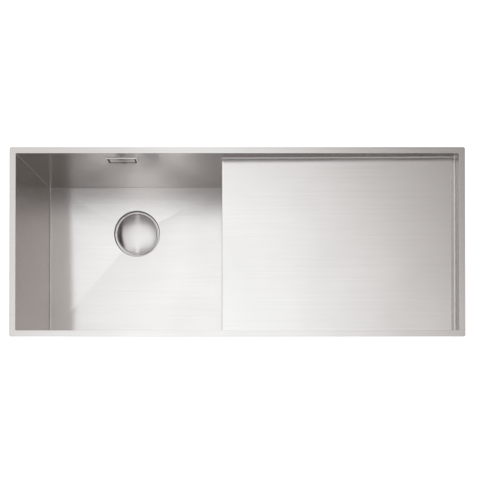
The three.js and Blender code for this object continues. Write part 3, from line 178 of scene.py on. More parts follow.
def choose(pick: Pick, test: Callable[[Vector, Vector], bool]) -> None:
    """Selects, in edit mode, the parts that pass a test.

    Args:
        pick: whether corners, edges or faces are selected.
        test: takes a part's middle and its normal, or an edge's direction.
    """
    bpy.ops.mesh.select_mode(type=pick.value)
    bpy.ops.mesh.select_all(action="DESELECT")
    mesh = bpy.context.object.data
    form = bmesh.from_edit_mesh(mesh)
    if pick is Pick.VERTS:
        parts = [(vert, vert.co, vert.normal) for vert in form.verts]
    elif pick is Pick.FACES:
        parts = [(face, face.calc_center_median(), face.normal) for face in form.faces]
    else:
        ends = [(edge, edge.verts[0].co, edge.verts[1].co) for edge in form.edges]
        parts = [(edge, (start + end) / 2, (end - start).normalized()) for edge, start, end in ends]
    for part, middle, direction in parts:
        if test(middle, direction):
            part.select_set(True)
    form.select_flush_mode()
    bmesh.update_edit_mesh(mesh)


def choose_facing(*looks: Sequence[float]) -> None:
    """Selects, in edit mode, the faces that look in one of these directions."""
    choose(Pick.FACES, lambda _, normal: any(normal.dot(Vector(look)) > ALIGNED for look in looks))


def near(value: float, target: float, reach: float = 0.05 * MM) -> bool:
    """Says whether two lengths are the same, within a reach."""
    return abs(value - target) < reach


def eased(corners: Sequence[Corner], steps: int = 5, closed: bool = True) -> Outline:
    """Rounds the corners of an outline.

    Args:
        corners: points as (across, up), or (across, up, radius) where the corner is round.
        steps: the number of steps along each round corner.
        closed: whether the last point leads back to the first.

    Returns:
        The points of the rounded outline.
    """
    points: Outline = []
    count = len(corners)
    for index, corner in enumerate(corners):
        here = Vector(corner[:2])
        at_end = not closed and index in (0, count - 1)
        if len(corner) < 3 or corner[2] <= 0 or at_end:
            points.append(tuple(here))
            continue
        before = Vector(corners[index - 1][:2]) - here
        after = Vector(corners[(index + 1) % count][:2]) - here
        half = before.angle(after) / 2
        reach = min(corner[2] / math.tan(half), before.length * HALF_SIDE, after.length * HALF_SIDE)
        radius = reach * math.tan(half)
        centre = here + (before.normalized() + after.normalized()).normalized() * radius / math.sin(half)
        start = here + before.normalized() * reach - centre
        end = here + after.normalized() * reach - centre
        turn = start.angle_signed(end)
        for step in range(steps + 1):
            spoke = start.copy()
            spoke.rotate(Matrix.Rotation(-turn * step / steps, 2))
            points.append(tuple(centre + spoke))
    return points


def rectangle(length: float, height: float, radius: float, middle: Corner = (0, 0)) -> Outline:
    """Returns the outline of a rectangle with round corners about its middle."""
    (across, up), x, y = middle, length / 2, height / 2
    corners = ((across + x, up + y), (across - x, up + y), (across - x, up - y), (across + x, up - y))
    return eased([(*corner, radius) for corner in corners], steps=6)


def wire(name: str, points: Sequence[Vector], closed: bool = False) -> Piece:
    """Draws a run of edges, corner by corner, from a plane that is merged into one point.

    Args:
        name: the run's name.
        points: its corners in order.
        closed: whether the last corner is joined to the first.

    Returns:
        The run, without faces.
    """
    deselect()
    bpy.ops.mesh.primitive_plane_add(size=MM, location=points[0])
    piece = newest(name)
    with editing(piece):
        on_all(bpy.ops.mesh.merge, type="CENTER")
        for here, there in zip(points, points[1:]):
            bpy.ops.mesh.extrude_vertices_move(TRANSFORM_OT_translate={"value": there - here})
        if closed:
            ends = (points[0], points[-1])
            choose(Pick.VERTS, lambda middle, _: any((middle - end).length < MERGE for end in ends))
            bpy.ops.mesh.edge_face_add()
    return piece


def turned(
    name: str,
    profile: Sequence[Corner],
    steps: int = 96,
    centre: Vector = ORIGIN,
    axis: Run = Run.Z,
    corner_steps: int = 5,
) -> Piece:
    """Spins a profile into a closed round body.

    Args:
        name: the piece's name.
        profile: its corners as (radius, height) or (radius, height, corner radius). One that starts on the
            axis ends there too, and any other leads back to its start.
        steps: the number of steps round the full circle.
        centre: where the profile's (0, 0) lies.
        axis: the axis that heights run along.
        corner_steps: the number of steps along each of the profile's round corners.

    Returns:
        The round body.
    """
    closed = profile[0][0] > 0
    points = [Vector((across, 0, up)) for across, up in eased(profile, corner_steps, closed)]
    piece = wire(name, points, closed)
    with editing(piece):
        on_all(bpy.ops.mesh.spin, steps=steps, angle=2 * math.pi, center=(0, 0, 0), axis=(0, 0, 1))
        on_all(bpy.ops.mesh.remove_doubles, threshold=MERGE)
        on_all(bpy.ops.mesh.normals_make_consistent, inside=False)
    piece.rotation_euler = {Run.X: (0, QUARTER, 0), Run.Y: (-QUARTER, 0, 0), Run.Z: (0, 0, 0)}[axis]
    piece.location = centre
    return settle(piece)


def drawn_out(name: str, outline: Outline, run: Run, low: float, high: float) -> Piece:
    """Fills an outline and extrudes it along an axis.

    Args:
        name: the piece's name.
        outline: its points, in the two axes that the run leaves.
        run: the axis of the extrusion.
        low: where it starts.
        high: where it ends.

    Returns:
        The closed bar or plate.
    """
    piece = wire(name, [run.place(across, up, low) for across, up in outline], closed=True)
    with editing(piece):
        on_all(bpy.ops.mesh.edge_face_add)
        bpy.ops.mesh.extrude_region_move(TRANSFORM_OT_translate={"value": run.place(0, 0, high - low)})
        on_all(bpy.ops.mesh.normals_make_consistent, inside=False)
    return piece


def peg(
    name: str,
    radius: float,
    low: float,
    high: float,
    axis: Run = Run.Z,
    steps: int = 32,
    centre: Vector = ORIGIN,
) -> Piece:
    """Spins a plain round bar along an axis, as a start for a boss or as a drill."""
    return turned(name, [(0, low), (radius, low), (radius, high), (0, high)], steps, centre, axis)


def sliced(height: float, upper: bool, fill: bool = False) -> None:
    """Cuts the mesh in edit mode at a height and keeps what lies above or below it."""
    settings = {"plane_co": (0, 0, height), "plane_no": (0, 0, 1), "use_fill": fill, "threshold": ON_PLANE}
    on_all(bpy.ops.mesh.bisect, clear_inner=upper, clear_outer=not upper, **settings)


def threaded(
    name: str, radius: float, depth: float, pitch: float, low: float, high: float, steps: int
) -> Piece:
    """Winds a screw thread up the Z axis and cuts it off square at both ends.

    Args:
        name: the piece's name.
        radius: the thread's outer radius.
        depth: how deep it is cut.
        pitch: its rise for each turn.
        low: where it starts.
        high: where it ends.
        steps: the number of steps for each turn.

    Returns:
        The threaded bar.
    """
    tooth = [(0.0, depth), (0.3, 0.0), (0.5, 0.0), (0.8, depth), (1.0, depth)]
    start = low - 2 * pitch
    piece = wire(name, [Vector((radius - cut, 0, start + share * pitch)) for share, cut in tooth])
    turns = math.ceil((high - start) / pitch) + 1
    settings = {"angle": 2 * math.pi, "screw_offset": pitch, "iterations": turns}
    apply_modifier(piece, "SCREW", steps=steps, render_steps=steps, **settings)
    with editing(piece):
        on_all(bpy.ops.mesh.remove_doubles, threshold=MERGE)
        sliced(low, upper=True, fill=True)
        sliced(high, upper=False, fill=True)
        on_all(bpy.ops.mesh.normals_make_consistent, inside=False)
    return piece


def block(name: str, low: Sequence[float], high: Sequence[float]) -> Piece:
    """Adds a block between two corners, as a start for a pressing or as a cutter."""
    deselect()
    low, high = Vector(low), Vector(high)
    bpy.ops.mesh.primitive_cube_add(size=1, location=(low + high) / 2, scale=high - low)
    return newest(name)


def apply_modifier(piece: Piece, kind: str, **settings: object) -> Piece:
    """Adds a modifier with these settings and applies it."""
    take_up(piece)
    modifier = piece.modifiers.new(kind.lower(), kind)
    for key, value in settings.items():
        setattr(modifier, key, value)
    bpy.ops.object.modifier_apply(modifier=modifier.name)
    return piece


def combine(piece: Piece, operation: str, tools: Sequence[Piece]) -> Piece:
    """Joins tools to a piece or cuts them out of it, and removes them."""
    for tool in tools:
        apply_modifier(piece, "BOOLEAN", operation=operation, object=tool, solver="EXACT")
        bpy.data.objects.remove(tool)
    return piece


def cut_away(piece: Piece, *tools: Piece) -> Piece:
    """Cuts tools out of a piece."""
    return combine(piece, "DIFFERENCE", tools)


def weld_on(piece: Piece, *others: Piece) -> Piece:
    """Joins other closed bodies to a piece."""
    return combine(piece, "UNION", others)


def cross_recess(top: Vector, axis: Run, head: float) -> list[Piece]:
    """Returns the two crossed cutters for the recess in the top of a screw's head of this radius."""
    reach, half, deep = (share * head for share in CROSS)
    sizes = [axis.place(reach, half, deep), axis.place(half, reach, deep)]
    return [block("recess", top - size, top + size) for size in sizes]


def gathered(pieces: Sequence[Piece], name: str) -> Piece:
    """Puts several bodies that don't touch into one object."""
    deselect()
    for piece in pieces:
        piece.select_set(True)
    bpy.context.view_layer.objects.active = pieces[0]
    bpy.ops.object.join()
    pieces[0].name = name
    return pieces[0]


def thicken(piece: Piece, thickness: float, outside: int = 1) -> Piece:
    """Gives a sheet its thickness behind its faces, with its back in another material slot."""
    settings = {"offset": -1, "use_even_offset": True, "use_rim": True, "material_offset": outside}
    return apply_modifier(piece, "SOLIDIFY", thickness=thickness, **settings)


def soften(piece: Piece, width: float, segments: int = 3, angle: float = 40) -> Piece:
    """Rounds a piece's edges that are sharper than an angle in degrees."""
    settings = {"limit_method": "ANGLE", "angle_limit": math.radians(angle), "use_clamp_overlap": True}
    return apply_modifier(piece, "BEVEL", width=width, segments=segments, harden_normals=False, **settings)


def smooth(piece: Piece, angle: float) -> Piece:
    """Shades a piece smooth, with its large flat faces kept flat."""
    take_up(piece)
    bpy.ops.object.shade_smooth_by_angle(angle=math.radians(angle), keep_sharp_edges=True)
    return apply_modifier(piece, "WEIGHTED_NORMAL", keep_sharp=True, mode="FACE_AREA_WITH_ANGLE")


def moved(piece: Piece, place: Sequence[float], turn: float = 0, axis: str = "Z") -> Piece:
    """Turns a piece about the origin, moves it and settles it."""
    piece.matrix_world = Matrix.Translation(place) @ Matrix.Rotation(turn, 4, axis)
    return settle(piece)


def copy_of(piece: Piece, name: str) -> Piece:
    """Copies a piece with a mesh of its own."""
    take_up(piece)
    bpy.ops.object.duplicate(linked=False)
    return newest(name)


def circle_of(piece: Piece, count: int, first: float = 0) -> list[Piece]:
    """Copies a piece round the Z axis through the origin, the first at its own place plus a turn."""
    ring = [piece, *(copy_of(piece, f"{piece.name}_{index + 1}") for index in range(1, count))]
    for index, each in enumerate(ring):
        moved(each, ORIGIN, first + index * 2 * math.pi / count)
    return ring


def row_of(piece: Piece, count: int, step: Sequence[float]) -> Piece:
    """Repeats a piece at even steps, in one object."""
    settings = {"use_relative_offset": False, "use_constant_offset": True}
    return apply_modifier(piece, "ARRAY", count=count, constant_offset_displace=step, **settings)


# ---------------- shader helpers


def add_node(
    tree: Tree, kind: str, *sources: object, settings: dict[str, object] | None = None, **inputs: object
) -> Node:
    """Adds a node to a tree.

    Args:
        tree: the node tree.
        kind: the node's type without its "ShaderNode" start.
        sources: values or sockets for the first inputs, in order.
        settings: the node's own settings.
        inputs: values or sockets by input name, with _ for a space.

    Returns:
        The node.
    """
    made = tree.nodes.new(f"ShaderNode{kind}")
    for key, value in (settings or {}).items():
        setattr(made, key, value)
    pairs = [*enumerate(sources), *((key.replace("_", " "), source) for key, source in inputs.items())]
    for key, source in pairs:
        feed(tree, made.inputs[key], source)
    return made


def feed(tree: Tree, socket: Socket, source: object) -> None:
    """Links a socket to an output, or sets its value."""
    if isinstance(source, bpy.types.NodeSocket):
        tree.links.new(source, socket)
    else:
        socket.default_value = source


def maths(tree: Tree, operation: str, *sources: object, kind: str = "Math") -> Socket:
    """Adds one step of arithmetic, on numbers or vectors, and returns its output."""
    return add_node(tree, kind, *sources, settings={"operation": operation}).outputs[0]


def eased_range(tree: Tree, value: object, fall: Fall) -> Socket:
    """Maps a value from the range of a fall's first two numbers to its last two, with soft ends."""
    return add_node(tree, "MapRange", value, *fall, settings={"interpolation_type": "SMOOTHSTEP"}).outputs[0]


def new_material(name: str) -> tuple[bpy.types.Material, Tree, Node]:
    """Returns a new material with its tree and its main shader."""
    material = bpy.data.materials.new(name)
    material.use_nodes = True
    tree = material.node_tree
    return material, tree, tree.nodes["Principled BSDF"]


def mixed(tree: Tree, mask: object, first: object, second: object) -> Socket:
    """Mixes two colours by a mask and returns the output."""
    mix = add_node(tree, "Mix", mask, settings={"data_type": "RGBA"})
    colours = [socket for socket in mix.inputs if socket.type == "RGBA"]
    for socket, source in zip(colours, (first, second)):
        feed(tree, socket, source)
    return next(socket for socket in mix.outputs if socket.type == "RGBA")


def tone(value: float, warmth: float = 0.0) -> tuple[float, ...]:
    """Returns a grey of this brightness, a little warmer or cooler."""
    return (value * (1 + warmth), value, value * (1 - warmth / 2), 1)


class Shared:
    """The shader node groups that several finishes use, each built once."""

    # Lines per metre along the brush's stroke.
    along_stroke: dict[str, float] = {"Fine": 9.0, "Broad": 2.2}
    # How much denser they are through a level face's height, and how far up such a face looks.
    closer: float = 4.0
    level_from: float = 0.5
    # How much finer the specks are than the patches.
    specks_scale: float = 40.0

    @staticmethod
    def group(name: str, inputs: dict[str, float], outputs: Sequence[str]) -> Tree | None:
        """Makes a group with number sockets.

        Args:
            name: the group's name.
            inputs: its inputs with their values.
            outputs: its outputs.

        Returns:
            The empty group, or None where a group of that name is there already.
        """
        if name in bpy.data.node_groups:
            return None
        tree = bpy.data.node_groups.new(name, "ShaderNodeTree")
        for key, value in inputs.items():
            socket = tree.interface.new_socket(key, in_out="INPUT", socket_type="NodeSocketFloat")
            socket.default_value = value
        for key in outputs:
            tree.interface.new_socket(key, in_out="OUTPUT", socket_type="NodeSocketFloat")
        return tree

    @classmethod
    def brush_lines(cls) -> Tree:
        """Returns the group of brush lines: along X on level faces, and level on upright ones.

        Returns:
            A group with the inputs Fine and Broad, the lines per metre, and the outputs Fine and Broad.
        """
        tree = cls.group("brush_lines", {"Fine": 1500.0, "Broad": 330.0}, ["Fine", "Broad"])
        if tree is None:
            return bpy.data.node_groups["brush_lines"]
        given, put_out = add_node_pair(tree)
        place = add_node(tree, "TexCoord").outputs["Object"]
        facing = add_node(tree, "SeparateXYZ", add_node(tree, "NewGeometry").outputs["Normal"]).outputs["Z"]
        level = maths(tree, "GREATER_THAN", maths(tree, "ABSOLUTE", facing), cls.level_from)
        upright = maths(tree, "SUBTRACT", 1.0, level)
        for key, along in cls.along_stroke.items():
            density = given.outputs[key]
            across_y = maths(tree, "MULTIPLY_ADD", maths(tree, "SUBTRACT", density, along), level, along)
            on_level = maths(tree, "MULTIPLY", level, along * cls.closer)
            across_z = maths(tree, "MULTIPLY_ADD", density, upright, on_level)
            scale = add_node(tree, "CombineXYZ", along, across_y, across_z).outputs[0]
            spot = maths(tree, "MULTIPLY", place, scale, kind="VectorMath")
            noise = add_node(tree, "TexNoise", Vector=spot, Scale=1.0, Detail=3.0, Roughness=0.6)
            tree.links.new(noise.outputs["Fac"], put_out.inputs[key])
        return tree

    @classmethod
    def soft_wear(cls) -> Tree:
        """Returns the group of soft patches, such as handling marks and uneven colour.

        Returns:
            A group with the inputs Scale and Detail, and the outputs Patches and Specks.
        """
        tree = cls.group("soft_wear", {"Scale": 14.0, "Detail": 3.0}, ["Patches", "Specks"])
        if tree is None:
            return bpy.data.node_groups["soft_wear"]
        given, put_out = add_node_pair(tree)
        scale, detail = given.outputs["Scale"], given.outputs["Detail"]
        place = add_node(tree, "TexCoord").outputs["Object"]
        patches = add_node(tree, "TexNoise", Vector=place, Scale=scale, Detail=detail)
        fine_scale = maths(tree, "MULTIPLY", scale, cls.specks_scale)
        specks = add_node(tree, "TexNoise", Vector=place, Scale=fine_scale, Detail=2.0)
        tree.links.new(patches.outputs["Fac"], put_out.inputs["Patches"])
        tree.links.new(specks.outputs["Fac"], put_out.inputs["Specks"])
        return tree

    @staticmethod
    def use(tree: Tree, group: Tree, **inputs: float) -> Node:
        """Places a group in a material with its own values."""
        placed = tree.nodes.new("ShaderNodeGroup")
        placed.node_tree = group
        for key, value in inputs.items():
            placed.inputs[key].default_value = value
        return placed


def add_node_pair(tree: Tree) -> tuple[Node, Node]:
    """Adds a group's input and output nodes."""
    return tree.nodes.new("NodeGroupInput"), tree.nodes.new("NodeGroupOutput")


def bump(tree: Tree, shader: Node, height: object, depth: float) -> None:
    """Feeds a height into a shader's normal, as deep as given."""
    made = add_node(tree, "Bump", Strength=1.0, Distance=depth, Height=height)
    tree.links.new(made.outputs["Normal"], shader.inputs["Normal"])


# ---------------- finishes


@dataclass(frozen=True)
class Steel:
    """Stainless or plated steel with brush lines.

    Attributes:
        name: the material's name.
        grey: how bright the metal reflects.
        roughness: how wide its gloss spreads.
        pull: how much wider the gloss spreads across the brush lines.
        line_depth: how deep the brush lines are.
        line_share: how much the lines change the brightness.
        warmth: how warm its grey is.
        fine: fine lines per metre.
        broad_share: how much the broad lines count beside the fine ones.
        line_range: from which to which height the lines go from dark to light.
        wear_scale: how dense the patches of wear are.
        wear_gloss: how much the wear changes the roughness.
        line_gloss: how much the fine lines change it.
        stroke: the way that the brush went, never quite at right angles to a face.
    """

    name: str
    grey: float = 0.66
    roughness: float = 0.2
    pull: float = 0.89
    line_depth: float = 0.0006 * MM
    line_share: float = 0.032
    warmth: float = 0.055
    fine: float = 1500.0
    broad_share: float = 0.6
    line_range: Fall = (0.5, 1.1, 0.0, 1.0)
    wear_scale: float = 7.0
    wear_gloss: float = 0.08
    line_gloss: float = 0.06
    stroke: tuple[float, float, float] = (1.0, 0.02, 0.0)

    def material(self) -> bpy.types.Material:
        """Returns the material, built on first use."""
        if self.name in bpy.data.materials:
            return bpy.data.materials[self.name]
        material, tree, shader = new_material(self.name)
        lines = Shared.use(tree, Shared.brush_lines(), Fine=self.fine)
        wear = Shared.use(tree, Shared.soft_wear(), Scale=self.wear_scale)
        streaks = maths(tree, "MULTIPLY_ADD", lines.outputs["Broad"], self.broad_share, lines.outputs["Fine"])
        mask = eased_range(tree, streaks, self.line_range)
        dark, light = (tone(self.grey * (1 + side * self.line_share), self.warmth) for side in (-1, 1))
        tree.links.new(mixed(tree, mask, dark, light), shader.inputs["Base Color"])
        least = self.roughness - (self.wear_gloss + self.line_gloss) / 2
        cloudy = maths(tree, "MULTIPLY_ADD", wear.outputs["Patches"], self.wear_gloss, least)
        rough = maths(tree, "MULTIPLY_ADD", lines.outputs["Fine"], self.line_gloss, cloudy)
        tree.links.new(rough, shader.inputs["Roughness"])
        shader.inputs["Metallic"].default_value = 1.0
        shader.inputs["Anisotropic"].default_value = self.pull
        facing = add_node(tree, "NewGeometry").outputs["Normal"]
        across = maths(tree, "CROSS_PRODUCT", facing, self.stroke, kind="VectorMath")
        tree.links.new(maths(tree, "NORMALIZE", across, kind="VectorMath"), shader.inputs["Tangent"])
        bump(tree, shader, streaks, self.line_depth)
        return material


@dataclass(frozen=True)
class Moulding:
    """Moulded plastic or rubber.

    Attributes:
        name: the material's name.
        colour: its base colour.
        roughness: how matt it is.
        grain: how deep its surface grain is.
        grain_scale: the grain's density.
        grain_gloss: how much the grain changes the roughness.
        mottle: how much its colour varies.
    """

    name: str
    colour: tuple[float, float, float]
    roughness: float = 0.45
    grain: float = 0.01 * MM
    grain_scale: float = 30.0
    grain_gloss: float = 0.12
    mottle: float = 0.06

    def material(self) -> bpy.types.Material:
        """Returns the material, built on first use."""
        if self.name in bpy.data.materials:
            return bpy.data.materials[self.name]
        material, tree, shader = new_material(self.name)
        wear = Shared.use(tree, Shared.soft_wear(), Scale=self.grain_scale)
        shades = (1 - self.mottle, 1 + self.mottle)
        dark, light = ((*(min(1.0, channel * shade) for channel in self.colour), 1) for shade in shades)
        tree.links.new(mixed(tree, wear.outputs["Patches"], dark, light), shader.inputs["Base Color"])
        least = self.roughness - self.grain_gloss / 2
        rough = maths(tree, "MULTIPLY_ADD", wear.outputs["Specks"], self.grain_gloss, least)
        tree.links.new(rough, shader.inputs["Roughness"])
        bump(tree, shader, wear.outputs["Specks"], self.grain)
        return material


Finish = Steel | Moulding

SATIN = Steel("satin_steel")
# The bowl floor takes the walls' steel with a lighter grey: painted light that brightens the floor, not a
# finish of its own.
FLOOR_STEEL_PAINTED_LIGHTER = Steel("bowl_floor_steel_painted_lighter", grey=0.71, roughness=0.235, pull=0.93, line_share=0.035)
LID = Steel("lid_steel", roughness=0.23, pull=0.92, line_share=0.03)
BRIGHT = Steel("bright_steel", grey=0.72, roughness=0.14, pull=0.3, line_depth=0.0002 * MM, line_share=0.02)
MILL = Steel("mill_steel", grey=0.5, roughness=0.42, pull=0.3, warmth=0.02, line_share=0.05)
ZINC = Steel("zinc_plate", grey=0.55, roughness=0.36, pull=0.0, warmth=-0.02, line_share=0.06, fine=700.0)
SEAL_RUBBER = Moulding("seal_rubber", (0.018, 0.018, 0.02), roughness=0.6, grain=0.02 * MM)
PAD_RUBBER = Moulding(
    "pad_rubber", (0.26, 0.255, 0.25), roughness=0.85, grain=0.12 * MM, grain_scale=12.0, mottle=0.12
)
WHITE_PLASTIC = Moulding("white_plastic", (0.80, 0.79, 0.77), roughness=0.42)
GREY_PLASTIC = Moulding("grey_plastic", (0.46, 0.465, 0.465), roughness=0.45)


class Slot(Enum):
    """The material slots by name, each with the finish that its pieces take; only the finish is used."""

    BRUSHED = ("brushed_steel", SATIN)
    POLISHED = ("polished_steel", BRIGHT)
    ZINC = ("zinc_steel", ZINC)
    SEAL = ("black_rubber", SEAL_RUBBER)
    PAD = ("pad_rubber", PAD_RUBBER)
    WHITE = ("white_plastic", WHITE_PLASTIC)
    GREY = ("grey_plastic", GREY_PLASTIC)


def finish_piece(piece: Piece, slot: Slot, node: str, body: str = "sink", angle: float = 35) -> Piece:
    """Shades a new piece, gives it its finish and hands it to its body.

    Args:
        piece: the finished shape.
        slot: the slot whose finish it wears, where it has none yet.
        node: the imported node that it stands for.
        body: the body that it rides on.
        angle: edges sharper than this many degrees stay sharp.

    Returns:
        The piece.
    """
    slot_name, finish = slot.value
    if not piece.data.materials:
        wear_finishes(piece, finish)
    smooth(piece, angle)
    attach(piece, body)
    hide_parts(node)
    triangles = sum(len(face.vertices) - 2 for face in piece.data.polygons)
    LOG.info("%s: %d triangles on %s", piece.name, triangles, body)
    return piece


def wear_finishes(piece: Piece, *finishes: Finish) -> Piece:
    """Gives a piece its finishes, such as a sheet's brushed face and its mill-finished back."""
    for finish in finishes:
        piece.data.materials.append(finish.material())
    return piece


# ---------------- places that several sub-assemblies share


def middle_of(node: str) -> Vector:
    """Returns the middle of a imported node."""
    low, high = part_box(node)
    return (low + high) / 2


def drain_centre() -> Vector:
    """Returns the middle of the floor of the drain's recess."""
    centre = middle_of("flange_seal")
    centre.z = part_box("flange_seal")[0].z
    return centre


def overflow_centre() -> Vector:
    """Returns the overflow's middle on the back wall's face."""
    centre = middle_of("overflow_frame")
    centre.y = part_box("bowl_walls")[1].y - SHEET
    return centre


# ---------------- rim, bowl and drainboard


@dataclass
class Rim:
    """The flat rim round the opening, and the gasket under it."""

    width: float = 14 * MM
    corner: float = 4 * MM
    inner_corner: float = 2 * MM
    edge: float = 0.25 * MM
    gasket_width: float = 4 * MM
    gasket_corner: float = 3.5 * MM
    gasket_height: float = 2 * MM

    @staticmethod
    def loop(name: str, node: str, inset: float, corner: float) -> Piece:
        """Draws a rectangle of edges with round corners.

        Args:
            name: its name.
            node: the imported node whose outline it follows.
            inset: how far inside that outline it runs.
            corner: the radius of its corners.

        Returns:
            The edges, level with the node's top.
        """
        deselect()
        low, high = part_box(node)
        centre, size = (low + high) / 2, high - low
        bpy.ops.mesh.primitive_plane_add(size=1, location=(*centre.xy, high.z))
        bpy.context.object.scale = (size.x - 2 * inset, size.y - 2 * inset, 1)
        piece = newest(name)
        with editing(piece):
            on_all(bpy.ops.mesh.bevel, offset=corner, segments=8, affect="VERTICES")
            bpy.ops.mesh.delete(type="ONLY_FACE")
        return piece

    def frame(self, name: str, node: str, width: float, corner: float, height: float, slot: Slot) -> None:
        """Bridges two loops into a frame, gives it its height and dresses it.

        Args:
            name: the piece's name.
            node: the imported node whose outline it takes.
            width: how wide it is.
            corner: the radius of its outer corners.
            height: its thickness.
            slot: its material slot. Steel gets a mill-finished back.
        """
        loops = [self.loop(name, node, 0, corner), self.loop("inside", node, width, self.inner_corner)]
        frame = gathered(loops, name)
        with editing(frame):
            on_all(bpy.ops.mesh.bridge_edge_loops)
            choose_facing((0, 0, -1))
            bpy.ops.mesh.flip_normals()
        finishes = (SATIN, MILL) if slot is Slot.BRUSHED else (SEAL_RUBBER,)
        thicken(wear_finishes(frame, *finishes), height, outside=len(finishes) - 1)
        soften(frame, self.edge, angle=60)
        finish_piece(frame, slot, node)

    def build(self) -> None:
        """Builds the rim and its gasket."""
        self.frame("rim", "rim_frame", self.width, self.corner, SHEET, Slot.BRUSHED)
        gasket = (self.gasket_width, self.gasket_corner, self.gasket_height)
        self.frame("rim_gasket", "rim_seal", *gasket, Slot.SEAL)


@dataclass
class Bowl:
    """The square bowl: four walls, and a floor of four facets that fall to the drain."""

    bend: float = 2.4 * MM
    bend_zone: float = 1.5 * MM
    fall: float = 9 * MM
    crease_slant: float = 0.1
    crease_rise: float = 0.08
    recess_radius: float = 62 * MM
    recess_depth: float = 3 * MM
    recess_draft: float = 2 * MM
    recess_room: float = 12 * MM
    recess_bends: tuple[float, float] = (1 * MM, 1.5 * MM)
    hole_radius: float = 45 * MM
    walls: tuple[Vector, Vector] = field(default_factory=lambda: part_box("bowl_walls"))
    drain: Vector = field(default_factory=drain_centre)

    def pressing(self, name: str) -> Piece:
        """Returns the bowl's inner face as one open sheet, with its faces to the inside."""
        low = self.walls[0] + Vector((SHEET, SHEET, 0))
        high = self.walls[1] - Vector((SHEET, SHEET, 0))
        low.z = self.drain.z + self.recess_depth + self.fall
        piece = block(name, low, high)
        with editing(piece):
            choose_facing((0, 0, 1))
            bpy.ops.mesh.delete(type="FACE")
            choose_facing((0, 0, -1))
            bpy.ops.mesh.poke()
            centre = (low + high) / 2
            choose(Pick.VERTS, lambda spot, _: near(spot.x, centre.x) and near(spot.y, centre.y))
            fall = Vector((self.drain.x - centre.x, self.drain.y - centre.y, -self.fall))
            bpy.ops.transform.translate(value=fall)
            choose(Pick.EDGES, lambda spot, run: self.is_bend(spot, run, low, high))
            bpy.ops.mesh.bevel(offset=self.bend, segments=6, affect="EDGES")
            on_all(bpy.ops.mesh.flip_normals)
        return piece

    def is_bend(self, spot: Vector, run: Vector, low: Vector, high: Vector) -> bool:
        """Says whether an edge stands in a corner of the walls or runs along their foot."""
        on_wall = any(near(spot[axis], end[axis]) for axis in (0, 1) for end in (low, high))
        return abs(run.z) > ALIGNED or (near(spot.z, low.z, self.bend_zone) and on_wall)

    def is_crease(self, spot: Vector, run: Vector) -> bool:
        """Says whether an edge is a crease between two facets of the floor."""
        slanted = min(abs(run.x), abs(run.y)) > self.crease_slant and abs(run.z) < self.crease_rise
        return slanted and (spot.xy - self.drain.xy).length > self.recess_radius + self.recess_depth

    def half(self, name: str, upper: bool) -> Piece:
        """Returns the part of the pressing above or below the bend's start, with its thickness."""
        piece = self.pressing(name)
        with editing(piece):
            sliced(self.walls[0].z, upper)
        # The floor half wears the lighter copy of the walls' steel, which is painted light.
        return thicken(wear_finishes(piece, SATIN if upper else FLOOR_STEEL_PAINTED_LIGHTER, MILL), SHEET)

    def build_walls(self, mouth: Piece, lip: float) -> None:
        """Cuts the walls open for the overflow and above the drainboard's lip, and dresses them."""
        walls = self.half("bowl_wall_sheet", upper=True)
        (_, front, _), (right, back, top) = self.walls
        reach = 3 * SHEET
        gap = block("gap", (right - SHEET, front - reach, lip), (right + reach, back + reach, top + reach))
        ends = block("ends", (right - 4 * SHEET, front + SHEET, lip), (right, back - SHEET, top + reach))
        cut_away(walls, gap, ends, mouth)
        finish_piece(walls, Slot.BRUSHED, "bowl_walls", angle=30)

    def build_floor(self) -> None:
        """Presses the recess into the floor, cuts the drain hole and dresses it."""
        floor = self.half("bowl_floor_sheet", upper=False)
        inner, depth, top = self.recess_radius, self.recess_depth, self.recess_room
        foot, outer, under = inner - self.recess_draft, inner + SHEET, depth + SHEET
        inside, outside = self.recess_bends
        shell = [(0, -SHEET), (foot + SHEET / 2, -SHEET, outside), (outer, depth), (outer, under)]
        room = [(0, 0), (foot, 0, inside), (inner, depth), (inner, top), (0, top)]
        weld_on(floor, turned("cup", [*shell, (0, under)], centre=self.drain))
        hole = peg("hole", self.hole_radius, -3 * SHEET, SHEET, steps=96, centre=self.drain)
        cut_away(floor, turned("hollow", room, centre=self.drain), hole)
        with editing(floor):
            choose(Pick.EDGES, self.is_crease)
            bpy.ops.mesh.mark_sharp()
        finish_piece(floor, Slot.BRUSHED, "bowl_floor", angle=30)


